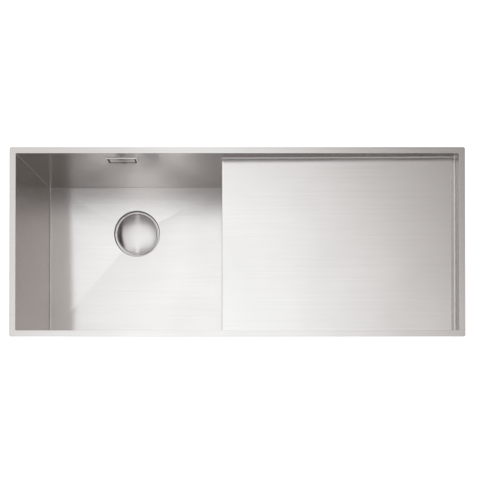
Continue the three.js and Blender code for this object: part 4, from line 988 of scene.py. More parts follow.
@dataclass
class Drainboard:
    """The shallow tray, with its bent edge into the bowl."""

    bend: float = 2 * MM
    bend_zone: float = 5 * MM
    nose: float = 2.5 * MM
    nose_overlap: float = 1.02
    high_drop: float = 18.6 * MM
    fall: float = 4.4 * MM
    low: Vector = field(default_factory=lambda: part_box("drainer_tray")[0])
    high: Vector = field(default_factory=lambda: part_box("drainer_tray")[1])

    @property
    def panel_low(self) -> float:
        """The height of the panel's left edge."""
        return self.high.z + SHEET - self.high_drop - self.fall

    def pressing(self) -> Piece:
        """Returns the tray without its nose, open to the left, with its thickness."""
        low = Vector((self.low.x, self.low.y + SHEET, self.panel_low))
        high = self.high - Vector((SHEET, SHEET, 0))
        tray = block("drainboard_sheet", low, high)
        with editing(tray):
            choose_facing((0, 0, 1), (-1, 0, 0))
            bpy.ops.mesh.delete(type="FACE")
            choose(Pick.VERTS, lambda spot, _: near(spot.x, high.x) and near(spot.z, low.z))
            bpy.ops.transform.translate(value=(0, 0, self.fall))
            choose(Pick.EDGES, lambda spot, run: self.is_bend(spot, run, low, high))
            bpy.ops.mesh.bevel(offset=self.bend, segments=6, affect="EDGES")
            on_all(bpy.ops.mesh.flip_normals)
        return thicken(wear_finishes(tray, SATIN, MILL), SHEET)

    def is_bend(self, spot: Vector, run: Vector, low: Vector, high: Vector) -> bool:
        """Says whether an edge is one that the press rounds."""
        at_right, at_foot = near(spot.x, high.x), spot.z < low.z + self.bend_zone
        along = abs(run.x) > ALIGNED and at_foot
        return along or (at_right and (abs(run.z) > ALIGNED or (abs(run.y) > ALIGNED and at_foot)))

    def build(self) -> None:
        """Adds the nose and its lip to the tray and dresses it."""
        tray = self.pressing()
        slope = self.fall / (self.high.x - SHEET - self.low.x)
        left, top, reach, nose = self.low.x, self.panel_low, 3 * SHEET, self.nose
        start = (left - reach, self.low.y - reach, self.low.z - reach)
        cut_away(tray, block("nose_room", start, (left + nose, self.high.y + reach, top + MERGE)))
        end, end_top = left + nose + SHEET, top + slope * (nose + SHEET)
        inside = [(left, self.low.z), (left + SHEET, self.low.z), (left + SHEET, top - SHEET, nose - SHEET)]
        outside = [(left + nose * self.nose_overlap, top + slope * nose), (left, top, nose)]
        outline = eased([*inside, (end, end_top - SHEET), (end, end_top), *outside], steps=8)
        weld_on(tray, drawn_out("nose", outline, Run.Y, self.low.y, self.high.y))
        finish_piece(tray, Slot.BRUSHED, "drainer_tray", angle=30)


# ---------------- strainer


@dataclass
class Strainer:
    """The flange with its cup, and the seals above and under the floor."""

    radius: float = 57 * MM
    under: float = 1.5 * MM
    seat: float = 2.5 * MM
    ring_top: float = 5.6 * MM
    ring_width: float = 3.6 * MM
    ring_edge: float = 1.5 * MM
    seat_bend: float = 0.8 * MM
    lip_bend: float = 1.2 * MM
    cup_radius: float = 40.5 * MM
    cup_floor: float = -43.5 * MM
    shoulder: float = 5 * MM
    outlet: float = 22 * MM
    outlet_edge: float = 0.4 * MM
    wall: float = 1 * MM
    bar: float = 3.5 * MM
    bar_height: float = 2 * MM
    boss: float = 7 * MM
    screw_hole: float = 3.3 * MM
    seal_width: float = 9 * MM
    seal_edge: float = 0.4 * MM
    centre: Vector = field(default_factory=drain_centre)

    def build_flange(self) -> None:
        """Spins the flange and its cup, welds the crossbar under its outlet and dresses it."""
        wall, cup, floor, outlet = self.wall, self.cup_radius, self.cup_floor, self.outlet
        outer, inside, seat = self.radius, self.radius - self.ring_width, self.seat
        crest, edge = self.ring_top, self.ring_edge
        top, under = floor - wall, floor - wall - self.bar_height
        ring = [(outer, self.under), (outer, crest, edge), (inside, crest, edge)]
        face = [(inside, seat, self.seat_bend), (cup, seat, self.lip_bend), (cup, floor, self.shoulder)]
        drop = [(outlet, floor, self.outlet_edge), (outlet, top), (cup + wall, top, self.shoulder + wall)]
        flange = turned("flange_and_cup", [*ring, *face, *drop, (cup + wall, self.under)], steps=128)
        reach, half = outlet + self.bar / 2, self.bar / 2
        bars = [
            block("bar", (-x, -y, under), (x, y, top + wall / 2)) for x, y in ((reach, half), (half, reach))
        ]
        weld_on(flange, *bars, peg("boss", self.boss, under, top, steps=48))
        head_room = peg("head_room", self.boss, top, top + 3 * wall, steps=48)
        cut_away(flange, head_room, peg("hole", self.screw_hole, under - CUT_THROUGH, top + CUT_THROUGH))
        finish_piece(moved(flange, self.centre), Slot.POLISHED, "strainer_flange", angle=30)

    def build_seals(self) -> None:
        """Makes the two seals, each with softened edges."""
        for node in ("flange_seal", "floor_seal"):
            low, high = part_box(node)
            outer, tall = (high.x - low.x) / 2, high.z - low.z
            inner = outer - self.seal_width
            corners = ((inner, 0), (outer, 0), (outer, tall), (inner, tall))
            profile = [(*corner, self.seal_edge) for corner in corners]
            seal = turned(f"{node}_ring", profile, centre=Vector((self.centre.x, self.centre.y, low.z)))
            finish_piece(seal, Slot.SEAL, node)

    def build(self) -> None:
        """Builds the flange and the seals."""
        self.build_flange()
        self.build_seals()


@dataclass
class Cover:
    """The shallow domed cover over the strainer, on four feet."""

    radius: float = 52.5 * MM
    sheet: float = 1 * MM
    rise: float = 5.2 * MM
    roundness: float = 2.8
    skirt_bottom: float = 3.1 * MM
    edge_top: float = 4.1 * MM
    edge_width: float = 0.8 * MM
    edge_drop: float = 0.15 * MM
    edge: float = 0.5 * MM
    seat: float = 2.5 * MM
    foot_radius: float = 2.5 * MM
    foot_circle: float = 47 * MM
    feet: int = 4
    dome_steps: int = 18
    centre: Vector = field(default_factory=drain_centre)

    def dome(self, height: float, reach: float) -> list[Corner]:
        """Returns the dome's points from its middle out."""
        shares = [step / self.dome_steps for step in range(self.dome_steps + 1)]
        return [(reach * share, height + self.rise * (1 - share**self.roundness)) for share in shares]

    def build(self) -> None:
        """Spins the dome with its turned-down edge, adds the feet and dresses it."""
        inside, under = self.radius - self.sheet, self.edge_top - self.sheet
        profile = [
            *self.dome(self.edge_top, self.radius - self.edge_width),
            (self.radius, self.edge_top - self.edge_drop, self.edge),
            (self.radius, self.skirt_bottom),
            (inside, self.skirt_bottom),
            (inside, under),
            *self.dome(under, inside - self.edge)[::-1],
        ]
        cover = turned("strainer_lid", profile, steps=128)
        low, high, wide = self.seat, self.edge_top - self.sheet / 2, self.foot_radius
        outline = [(0, low), (wide, low, self.edge), (wide, high), (0, high)]
        foot = turned("foot", outline, steps=24, centre=Vector((self.foot_circle, 0, 0)))
        weld_on(cover, *circle_of(foot, self.feet, first=math.pi / self.feet))
        wear_finishes(moved(cover, self.centre), LID)
        finish_piece(cover, Slot.BRUSHED, "strainer_cover", body="cover", angle=30)


# ---------------- overflow


@dataclass
class Overflow:
    """The bezel and the plate in the bowl's back wall."""

    bezel: Panel = (75 * MM, 27 * MM, 2 * MM)
    plate: Panel = (59 * MM, 16 * MM, 1 * MM)
    mouth: tuple[float, float] = (66 * MM, 22 * MM)
    corner: float = 2 * MM
    thickness: float = 1.6 * MM
    bevel: float = 1 * MM
    edge: float = 0.15 * MM
    collar_wall: float = 1 * MM
    collar_depth: float = 4 * MM
    plate_thickness: float = 1.5 * MM
    plate_recess: float = 0.4 * MM
    plate_edge: float = 0.3 * MM
    post_radius: float = 5 * MM
    post_end: float = 21.7 * MM
    post_edge: float = 0.4 * MM
    screw_hole: float = 2.3 * MM
    place: Vector = field(default_factory=overflow_centre)

    def opening(self, grown: float, corner: float) -> Outline:
        """Returns the mouth's outline, this much wider all round."""
        return rectangle(self.mouth[0] + 2 * grown, self.mouth[1] + 2 * grown, corner)

    def mouth_cutter(self) -> Piece:
        """Returns the body that cuts the mouth into the bowl's back wall."""
        outline = self.opening(self.collar_wall + RUNNING_GAP, self.corner)
        return moved(drawn_out("mouth", outline, Run.Y, -SHEET, 2 * SHEET), self.place)

    def build_frame(self) -> None:
        """Draws out the bezel, bevels its front, cuts its mouth and dresses it."""
        frame = drawn_out("overflow_bezel", rectangle(*self.bezel), Run.Y, -self.thickness, 0)
        with editing(frame):
            choose_facing((0, -1, 0))
            bpy.ops.mesh.region_to_loop()
            bpy.ops.mesh.bevel(offset=self.bevel, segments=1, affect="EDGES")
        back, front = self.collar_depth, self.collar_depth - SHEET
        outer, inner = self.opening(self.collar_wall, self.corner), self.opening(0, self.corner / 2)
        weld_on(frame, drawn_out("collar", outer, Run.Y, -SHEET / 2, back))
        cut_away(frame, drawn_out("mouth", inner, Run.Y, -4 * SHEET, 6 * SHEET))
        reach = (self.mouth[0] + self.collar_wall) / 2
        bar = block("bar", (-reach, front, -SHEET), (reach, back, SHEET))
        weld_on(frame, bar, peg("clamp", self.post_radius + 2 * SHEET, front, back, Run.Y, steps=48))
        cut_away(frame, peg("hole", self.post_radius + RUNNING_GAP, 0, 6 * SHEET, Run.Y, steps=48))
        soften(frame, self.edge, segments=2)
        finish_piece(moved(frame, self.place), Slot.POLISHED, "overflow_frame")

    def build_plate(self) -> None:
        """Draws out the plate, adds its shouldered post and dresses it."""
        front = self.plate_recess - self.thickness
        back = front + self.plate_thickness
        plate = drawn_out("overflow_cover_plate", rectangle(*self.plate), Run.Y, front, back)
        soften(plate, self.plate_edge)
        middle, shoulder, step = (front + back) / 2, self.post_radius + SHEET, self.collar_depth - SHEET
        profile = [(0, middle), (shoulder, middle), (shoulder, step), (self.post_radius, step)]
        profile += [(self.post_radius, self.post_end, self.post_edge), (0, self.post_end)]
        weld_on(plate, turned("post", profile, steps=48, axis=Run.Y))
        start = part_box("overflow_screw")[0].y - self.place.y - SHEET
        cut_away(plate, peg("hole", self.screw_hole, start, self.post_end + CUT_THROUGH, Run.Y))
        finish_piece(moved(plate, self.place), Slot.BRUSHED, "overflow_plate")

    def build(self) -> None:
        """Builds the bezel and the plate."""
        self.build_frame()
        self.build_plate()


@dataclass
class OverflowHousing:
    """The moulded box behind the overflow, with its gasket and its screw."""

    flange: Panel = (85.4 * MM, 41.4 * MM, 5 * MM)
    outside: Panel = (75.4 * MM, 31.4 * MM, 4.5 * MM)
    inside: Panel = (70.4 * MM, 26.4 * MM, 2 * MM)
    front: float = 3.2 * MM
    back: float = 24.2 * MM
    wall: float = 2.5 * MM
    spigot_radius: float = 12.5 * MM
    spigot_bore: float = 9.5 * MM
    spigot_back: float = 20.2 * MM
    spigot_low: float = -30.7 * MM
    spigot_high: float = -6.7 * MM
    screw_radius: float = 2 * MM
    screw_start: float = 8.2 * MM
    screw_tip: float = 0.4 * MM
    head_height: float = 2 * MM
    head_edge: float = 0.2 * MM
    edge: float = 1.2 * MM
    seal_edge: float = 0.3 * MM
    place: Vector = field(default_factory=overflow_centre)

    def build_seal(self) -> None:
        """Cuts the gasket out of a plate and dresses it."""
        seal = drawn_out("overflow_gasket", rectangle(*self.flange), Run.Y, SHEET, self.front)
        cut_away(seal, drawn_out("inside", rectangle(*self.inside), Run.Y, 0, 2 * self.front))
        soften(seal, self.seal_edge, segments=2, angle=60)
        finish_piece(moved(seal, self.place), Slot.SEAL, "overflow_seal")

    def spout(self, name: str, radius: float, low: float, high: float, edge: float) -> Piece:
        """Returns an upright round bar on the spigot's axis."""
        profile = [(0, low), (radius, low, edge), (radius, high, edge), (0, high)]
        return turned(name, profile, steps=64, centre=Vector((0, self.spigot_back, 0)))

    def build_housing(self) -> None:
        """Moulds the box with its flange and spigot, hollows it and dresses it."""
        front, back, wall = self.front, self.back, self.wall
        box = drawn_out("overflow_back_box", rectangle(*self.outside), Run.Y, front, back)
        soften(box, self.edge, segments=4, angle=60)
        flange = drawn_out("flange", rectangle(*self.flange), Run.Y, front, front + wall)
        soften(flange, self.edge / 3, segments=2, angle=60)
        low, high = self.spigot_low, self.spigot_high
        weld_on(box, flange, self.spout("spigot", self.spigot_radius, low, high, self.edge / 2))
        room = drawn_out("room", rectangle(*self.inside), Run.Y, front - wall, back - wall)
        bore = self.spout("bore", self.spigot_bore, low - wall, high - wall, 0)
        cut_away(box, room, bore, peg("hole", self.screw_radius + RUNNING_GAP, 0, 2 * back, Run.Y))
        finish_piece(moved(box, self.place), Slot.WHITE, "overflow_housing")

    def build_screw(self) -> None:
        """Turns the screw, cuts the cross in its head and dresses it."""
        thin, seat = self.screw_radius, self.back
        head, top = 2 * thin, seat + self.head_height
        profile = [(0, self.screw_start), (thin, self.screw_start, self.screw_tip), (thin, seat)]
        profile += [(head, seat, self.head_edge), (head, top, self.head_height / 2), (0, top)]
        screw = turned("overflow_back_screw", profile, steps=32, axis=Run.Y)
        cut_away(screw, *cross_recess(Vector((0, top, 0)), Run.Y, head))
        finish_piece(moved(screw, self.place), Slot.ZINC, "overflow_screw")

    def build(self) -> None:
        """Builds the gasket, the box and the screw."""
        self.build_seal()
        self.build_housing()
        self.build_screw()


@dataclass
class OverflowLine:
    """The ribbed hose from the waste body up to the overflow's box, with its two coupling nuts."""

    radius: float = 12.5 * MM
    bore: float = 7.5 * MM
    root_depth: float = 1.6 * MM
    rib_pitch: float = 5 * MM
    straight: float = 25 * MM
    bend_steps: int = 48
    nut_bore: float = 12.8 * MM
    nut_radius: float = 16 * MM
    nut_length: float = 16 * MM
    nut_edges: tuple[float, float] = (0.4 * MM, 1 * MM)
    grips: int = 8
    grip_height: float = 1.2 * MM
    grip_edge: float = 0.4 * MM

    def route(self) -> list[Vector]:
        """Returns the hose's middle line: back from the waste body, round a quarter bend and up."""
        start = middle_of("hose_nut_lower") + Vector((0, RUNNING_GAP, 0))
        end = middle_of("hose_nut_upper") - Vector((0, 0, RUNNING_GAP))
        bend = end.y - start.y - self.straight
        corner = Vector((start.x, start.y + self.straight, start.z + bend))
        turns = [QUARTER * step / self.bend_steps for step in range(self.bend_steps + 1)]
        arc = [corner + bend * Vector((0, math.sin(turn), -math.cos(turn))) for turn in turns]
        return [start, *arc, end]

    def profile(self, length: float) -> list[Corner]:
        """Returns the hose's section along its length, with round ribs outside and a plain bore."""
        ribs = int((length - 2 * self.straight) / self.rib_pitch)
        first = (length - ribs * self.rib_pitch) / 2
        root, soft = self.radius - self.root_depth, self.rib_pitch / 8
        outer = [(self.radius, 0, soft), (self.radius, first - 2 * soft, soft)]
        for rib in range(ribs):
            here = first + rib * self.rib_pitch
            crest = here + self.rib_pitch / 2
            outer += [(root, here - soft, soft / 2), (root, here + soft, soft / 2)]
            outer += [(self.radius, crest - soft, soft / 2), (self.radius, crest + soft, soft / 2)]
        last = first + ribs * self.rib_pitch
        outer += [(root, last - soft, soft / 2), (root, last + soft, soft / 2)]
        outer += [(self.radius, last + 2 * soft, soft), (self.radius, length, soft)]
        stops = [length - (length - 2 * soft) * step / ribs - soft for step in range(ribs + 1)]
        return [*outer, (self.bore, length), *((self.bore, stop) for stop in stops), (self.bore, 0)]

    def build_hose(self) -> None:
        """Spins the ribbed hose straight, bends it along its route and dresses it."""
        spots = self.route()
        length = sum((there - here).length for here, there in zip(spots, spots[1:]))
        hose = turned("ribbed_hose", self.profile(length), steps=32, corner_steps=2)
        path = bpy.data.curves.new("hose_route", "CURVE")
        path.dimensions = "3D"
        spline = path.splines.new("POLY")
        spline.points.add(len(spots) - 1)
        for point, spot in zip(spline.points, spots):
            point.co = (*spot, 1)
        guide = bpy.data.objects.new("hose_route", path)
        bpy.context.scene.collection.objects.link(guide)
        apply_modifier(hose, "CURVE", object=guide, deform_axis="POS_Z")
        bpy.data.objects.remove(guide)
        finish_piece(hose, Slot.GREY, "overflow_hose", angle=50)
        LOG.info("the hose is %.1f mm long", length / MM)

    def build_nuts(self) -> None:
        """Turns one nut with its grips, copies it and puts the two on the hose's ends."""
        half, inside, outside = self.nut_length / 2, self.nut_bore, self.nut_radius
        small, large = self.nut_edges
        profile = [(inside, -half, small), (outside, -half, large)]
        profile += [(outside, half, large), (inside, half, small)]
        nut = turned("coupling_nut_upper", profile, steps=64)
        tall, reach = self.grip_height, half - self.grip_height
        grip = block("grip", (outside - tall, -tall, -reach), (outside + tall, tall, reach))
        weld_on(nut, *circle_of(soften(grip, self.grip_edge), self.grips))
        other = copy_of(nut, "coupling_nut_lower")
        moved(nut, middle_of("hose_nut_upper"))
        moved(other, middle_of("hose_nut_lower"), QUARTER, "X")
        finish_piece(nut, Slot.GREY, "hose_nut_upper")
        finish_piece(other, Slot.GREY, "hose_nut_lower")

    def build(self) -> None:
        """Builds the hose and its nuts."""
        self.build_hose()
        self.build_nuts()


# ---------------- waste body and basket


@dataclass
class WasteBody:
    """The moulded funnel under the floor, with its spigot and threaded outlet, and the screw through it."""

    flange_radius: float = 56 * MM
    flange_top: float = -4.2 * MM
    flange_thickness: float = 4 * MM
    flange_edges: tuple[float, float] = (0.6 * MM, 0.8 * MM)
    shoulder_bend: float = 2 * MM
    radius: float = 47 * MM
    wall: float = 3 * MM
    chamber_end: float = -50.2 * MM
    cone_end: float = -63.2 * MM
    cone_bends: tuple[float, float] = (4 * MM, 2 * MM)
    hollow_bends: tuple[float, float] = (3 * MM, 2 * MM)
    outlet_end: float = -95.2 * MM
    outlet_edges: tuple[float, float] = (0.5 * MM, 0.3 * MM)
    bore: float = 20.5 * MM
    thread_radius: float = 23.9 * MM
    thread_depth: float = 1.3 * MM
    thread_pitch: float = 2.3 * MM
    thread_sunk: float = 1.2
    neck: float = 4 * MM
    spigot_radius: float = 12.5 * MM
    spigot_bore: float = 9.5 * MM
    spigot_start: float = 41 * MM
    spigot_end: float = 62 * MM
    spigot_height: float = -29.2 * MM
    rib: float = 3 * MM
    boss: float = 7 * MM
    boss_top: float = -46.5 * MM
    screw_radius: float = 3 * MM
    screw_end: float = -66.5 * MM
    screw_tip: float = 0.6 * MM
    screw_head: float = 6.4 * MM
    screw_crown: float = 0.7
    head_edges: tuple[float, float, float] = (0.3 * MM, 0.5 * MM, 0.8 * MM)
    head_seat: float = -44.5 * MM
    head_height: float = 2 * MM
    slot: float = 1 * MM
    centre: Vector = field(default_factory=drain_centre)

    def outside(self) -> Piece:
        """Returns the funnel as a solid, without its spigot and its thread."""
        core = self.thread_radius - self.thread_sunk * self.thread_depth
        under, neck = self.flange_top - self.flange_thickness, self.cone_end - self.neck
        (top_edge, under_edge), (wide_bend, bend) = self.flange_edges, self.cone_bends
        thread_edge, end_edge = self.outlet_edges
        flange = [(0, self.flange_top), (self.flange_radius, self.flange_top, top_edge)]
        chamber = [(self.flange_radius, under, under_edge), (self.radius, under, self.shoulder_bend)]
        cone = [(self.radius, self.chamber_end, wide_bend), (self.thread_radius, self.cone_end, bend)]
        outlet = [(self.thread_radius, neck, thread_edge), (core, neck), (core, self.outlet_end, end_edge)]
        return turned("waste_funnel", [*flange, *chamber, *cone, *outlet, (0, self.outlet_end)])

    def inside(self, grown: float = 0) -> Piece:
        """Returns the funnel's hollow, or a form that is this much wider."""
        inner, bore = self.radius - self.wall + grown, self.bore + grown
        top, end = self.flange_top + CUT_THROUGH, self.outlet_end - CUT_THROUGH
        wide_bend, bend = self.hollow_bends
        cone = [(inner, self.chamber_end, wide_bend), (bore, self.cone_end, bend)]
        return turned("hollow", [(0, top), (inner, top), *cone, (bore, end), (0, end)])

    def spider(self) -> Piece:
        """Returns the cross of ribs in the cone, trimmed inside the funnel's wall, with the screw's boss."""
        reach, half = self.radius, self.rib / 2
        low, high = self.cone_end, self.chamber_end
        ribs = block("ribs", (-reach, -half, low), (reach, half, high))
        weld_on(ribs, block("ribs_y", (-half, -reach, low), (half, reach, high)))
        combine(ribs, "INTERSECT", [self.inside(grown=self.wall / 2)])
        return weld_on(ribs, peg("boss", self.boss, low, self.boss_top, steps=48))

    def build_body(self) -> None:
        """Moulds the funnel with its spigot, ribs and thread and dresses it."""
        body, place = self.outside(), (0, 0, self.spigot_height)
        spigot = peg("spigot", self.spigot_radius, self.spigot_start, self.spigot_end, Run.Y, steps=64)
        start, end = self.spigot_start - self.wall, self.spigot_end + CUT_THROUGH
        bore = peg("bore", self.spigot_bore, start, end, Run.Y, steps=64)
        top = self.cone_end - self.neck - self.thread_pitch
        low = self.outlet_end + self.thread_pitch / 2
        size = (self.thread_radius, self.thread_depth, self.thread_pitch)
        thread = threaded("thread", *size, low, top, steps=64)
        weld_on(body, moved(spigot, place), thread)
        cut_away(body, self.inside(), moved(bore, place))
        weld_on(body, self.spider())
        cut_away(body, peg("hole", self.screw_radius + RUNNING_GAP, self.screw_end, 0))
        finish_piece(moved(body, self.centre), Slot.WHITE, "waste_body", angle=30)

    def build_screw(self) -> None:
        """Turns the screw, cuts its slot and dresses it."""
        thin, head, end, seat = self.screw_radius, self.screw_head, self.screw_end, self.head_seat
        middle, crown = seat + self.head_height / 2, seat + self.head_height
        low_edge, edge, crown_edge = self.head_edges
        shank = [(0, end), (thin, end, self.screw_tip), (thin, seat), (head, seat, low_edge)]
        top = [(head, middle, edge), (head * self.screw_crown, crown, crown_edge), (0, crown)]
        screw = turned("waste_bolt", [*shank, *top], steps=48)
        half, reach = self.slot / 2, 2 * head
        cut_away(screw, block("slot", (-reach, -half, middle), (reach, half, crown + CUT_THROUGH)))
        finish_piece(moved(screw, self.centre), Slot.ZINC, "waste_screw")

    def build(self) -> None:
        """Builds the funnel and its screw."""
        self.build_body()
        self.build_screw()


@dataclass
class Basket:
    """The slotted basket with its knob, its rubber plug and the plug's screw."""

    floor_under: float = -36.8 * MM
    sheet: float = 0.8 * MM
    floor_radius: float = 25 * MM
    floor_bends: tuple[float, float] = (2.5 * MM, 1.8 * MM)
    neck: float = 37.9 * MM
    neck_bends: tuple[float, float] = (0.8 * MM, 1.2 * MM)
    rim: float = 39.9 * MM
    rim_under: float = -5.5 * MM
    rim_top: float = -3.5 * MM
    rim_edges: tuple[float, float] = (0.5 * MM, 0.8 * MM)
    slot_width: float = 5 * MM
    slot_height: float = 8 * MM
    slot_roundness: float = 0.48
    slots: int = 16
    rows: tuple[float, float] = (-28.375 * MM, -13.125 * MM)
    slot_start: float = 20 * MM
    hole_radius: float = 2.5 * MM
    hole_circle: float = 14.45 * MM
    holes: int = 8
    screw_hole: float = 2.3 * MM
    screw_radius: float = 2 * MM
    screw_end: float = -28 * MM
    screw_tip: float = 0.4 * MM
    screw_crown: float = 0.7
    head_edges: tuple[float, float] = (0.5 * MM, 0.2 * MM)
    plug_under: float = -43.5 * MM
    plug_hollow: float = 3.5 * MM
    plug_foot: float = 6.2 * MM
    plug_radius: float = 27 * MM
    plug_bend: float = 1 * MM
    plug_edge: float = 0.5 * MM
    plug_lip_edge: float = 0.6 * MM
    plug_top_edge: float = 0.8 * MM
    knob_radius: float = 9.5 * MM
    knob_edges: tuple[float, float] = (1 * MM, 1.5 * MM)
    knob_stem: float = 4 * MM
    knob_flare: float = 1.5
    knob_foot_edge: float = 0.3 * MM
    knob_bend: float = 2 * MM
    knob_top: float = -1 * MM
    knob_height: float = 8 * MM
    knob_hole_end: float = -24 * MM
    centre: Vector = field(default_factory=drain_centre)

    def build_basket(self) -> None:
        """Spins the cup, cuts its rows of round-ended slots and its holes, and dresses it."""
        sheet, floor, neck, rim = self.sheet, self.floor_radius, self.neck, self.rim
        bottom, inside_bottom = self.floor_under, self.floor_under + self.sheet
        (outer_bend, inner_bend), (under_bend, top_bend) = self.floor_bends, self.neck_bends
        under_edge, top_edge = self.rim_edges
        outside = [(0, bottom), (floor, bottom, outer_bend), (neck, self.rim_under, under_bend)]
        edge = [(rim, self.rim_under, under_edge), (rim, self.rim_top, top_edge)]
        inside = [(neck - sheet, self.rim_top, top_bend), (floor - sheet, inside_bottom, inner_bend)]
        cup = turned("strainer_basket", [*outside, *edge, *inside, (0, inside_bottom)])
        cutters = []
        for row, height in enumerate(self.rows):
            radius = self.slot_width * self.slot_roundness
            outline = rectangle(self.slot_width, self.slot_height, radius, (0, height))
            slot = drawn_out(f"slot_{row}", outline, Run.X, self.slot_start, rim + sheet)
            cutters += circle_of(slot, self.slots, first=row * math.pi / self.slots)
        low, high = bottom - CUT_THROUGH, inside_bottom + CUT_THROUGH
        hole = moved(peg("hole", self.hole_radius, low, high, steps=20), (self.hole_circle, 0, 0))
        cutters += [*circle_of(hole, self.holes), peg("screw_hole", self.screw_hole, low, high)]
        cut_away(cup, gathered(cutters, "cutters"))
        finish_piece(moved(cup, self.centre), Slot.BRUSHED, "basket", body="basket", angle=30)

    def build_knob(self) -> None:
        """Spins the knob with its blind hole and dresses it."""
        stem, head, hole = self.knob_stem, self.knob_radius, self.screw_hole
        foot = self.floor_under + self.sheet
        crown, top, under = self.knob_height / 4, self.knob_top, self.knob_top - self.knob_height
        inside = [(0, self.knob_hole_end), (hole, self.knob_hole_end), (hole, foot)]
        flare, bend, (low_edge, edge) = self.knob_flare * stem, self.knob_bend, self.knob_edges
        waist = [(flare, foot, self.knob_foot_edge), (stem, foot + crown, bend), (stem, under - crown, bend)]
        grip = [(head - crown, under, low_edge), (head, under + crown, edge), (head, top - crown, edge)]
        profile = [*inside, *waist, *grip, (head - crown, top, edge), (0, top)]
        knob = turned("basket_grip", profile, steps=64, centre=self.centre)
        finish_piece(knob, Slot.POLISHED, "basket_knob", body="basket")

    def build_plug(self) -> None:
        """Spins the rubber plug with its lip and dresses it."""
        low, seat, lip = self.plug_under, self.plug_under + self.plug_hollow, SHEET
        wide, hollow = self.plug_radius, self.plug_radius - self.plug_foot
        hole, edge, top = self.screw_hole, self.plug_edge, self.floor_under
        dish = [(hole, seat), (hollow - self.plug_hollow, seat, self.plug_bend), (hollow, low, edge)]
        side = [(wide - lip, low, edge), (wide, low + lip, self.plug_lip_edge)]
        side += [(self.floor_radius - lip, top, self.plug_top_edge), (hole, top)]
        plug = turned("basket_plug", [*dish, *side], centre=self.centre)
        finish_piece(plug, Slot.SEAL, "basket_stopper", body="basket")

    def build_screw(self) -> None:
        """Turns the plug's screw, cuts the cross in its head and dresses it."""
        thin, head, end = self.screw_radius, 2 * self.screw_radius, self.screw_end
        seat = self.plug_under + self.plug_hollow
        under = seat - SHEET
        crown_edge, edge = self.head_edges
        top = [(0, under), (head * self.screw_crown, under, crown_edge), (head, seat, edge)]
        shank = [(thin, seat), (thin, end, self.screw_tip), (0, end)]
        screw = turned("plug_screw", [*top, *shank], steps=32)
        cut_away(screw, *cross_recess(Vector((0, 0, under)), Run.Z, head))
        finish_piece(moved(screw, self.centre), Slot.ZINC, "stopper_screw", body="basket")

    def build(self) -> None:
        """Builds all that lifts out with the basket."""
        self.build_basket()
        self.build_knob()
        self.build_plug()
        self.build_screw()


# ---------------- underside


def seat_of(node: Piece, outward: Sequence[float]) -> tuple[Matrix, Vector]:
    """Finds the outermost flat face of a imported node.

    Args:
        node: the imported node.
        outward: the direction that the face looks in, roughly.

    Returns:
        A frame on the middle of that face with Z leading out, and the node's size along the frame's axes.
    """
    look = Vector(outward)
    face = max(node.data.polygons, key=lambda each: each.area * each.normal.dot(look))
    up = face.normal.copy()
    across = Vector((0, 1, 0)).cross(up).normalized()
    axes = Matrix((across, up.cross(across), up))
    spots = [axes @ vert.co for vert in node.data.vertices]
    low = Vector(min(spot[axis] for spot in spots) for axis in range(3))
    high = Vector(max(spot[axis] for spot in spots) for axis in range(3))
    middle = (low + high) / 2
    middle.z = high.z
    return Matrix.Translation(axes.inverted() @ middle) @ axes.inverted().to_4x4(), high - low


@dataclass
class Pads:
    """The sound-deadening pads, embossed with square cells."""

    nodes: dict[str, Piece]
    corner: float = 5 * MM
    edge: float = 0.5 * MM
    cell: float = 9 * MM
    land: float = 2 * MM
    margin: float = 5 * MM
    emboss: float = 0.6 * MM
    draft: float = 0.86

    def looks(self) -> dict[str, tuple[float, float, float]]:
        """Returns the direction that each pad's outer face looks in."""
        under = ("floor_front", "floor_left", "floor_right", "drainer_1", "drainer_2")
        walls = {"pad_wall_left": (-1, 0, 0), "pad_wall_right": (1, 0, 0)}
        return walls | {f"pad_{place}": (0, 0, -1) for place in under}

    def cells(self, size: Vector) -> Piece:
        """Returns the rows of cutters that emboss a pad of this size."""
        pitch, half = self.cell + self.land, self.cell / 2
        counts = [int((size[axis] - 2 * self.margin + self.land) / pitch) for axis in (0, 1)]
        cutter = block("cells", (-half, -half, -self.emboss), (half, half, self.emboss))
        with editing(cutter):
            choose_facing((0, 0, -1))
            bpy.ops.transform.resize(value=(self.draft, self.draft, 1))
        moved(cutter, (-(counts[0] - 1) / 2 * pitch, -(counts[1] - 1) / 2 * pitch, 0))
        for count, step in zip(counts, ((pitch, 0, 0), (0, pitch, 0))):
            row_of(cutter, count, step)
        return cutter

    def build(self) -> None:
        """Cuts each pad to its node's size, embosses it and dresses it."""
        for name, look in self.looks().items():
            place, size = seat_of(self.nodes[name], look)
            pad = drawn_out(f"{name}_sheet", rectangle(size.x, size.y, self.corner), Run.Z, -size.z, 0)
            soften(pad, self.edge, angle=60)
            cut_away(pad, self.cells(size))
            pad.matrix_world = place
            finish_piece(settle(pad), Slot.PAD, name)


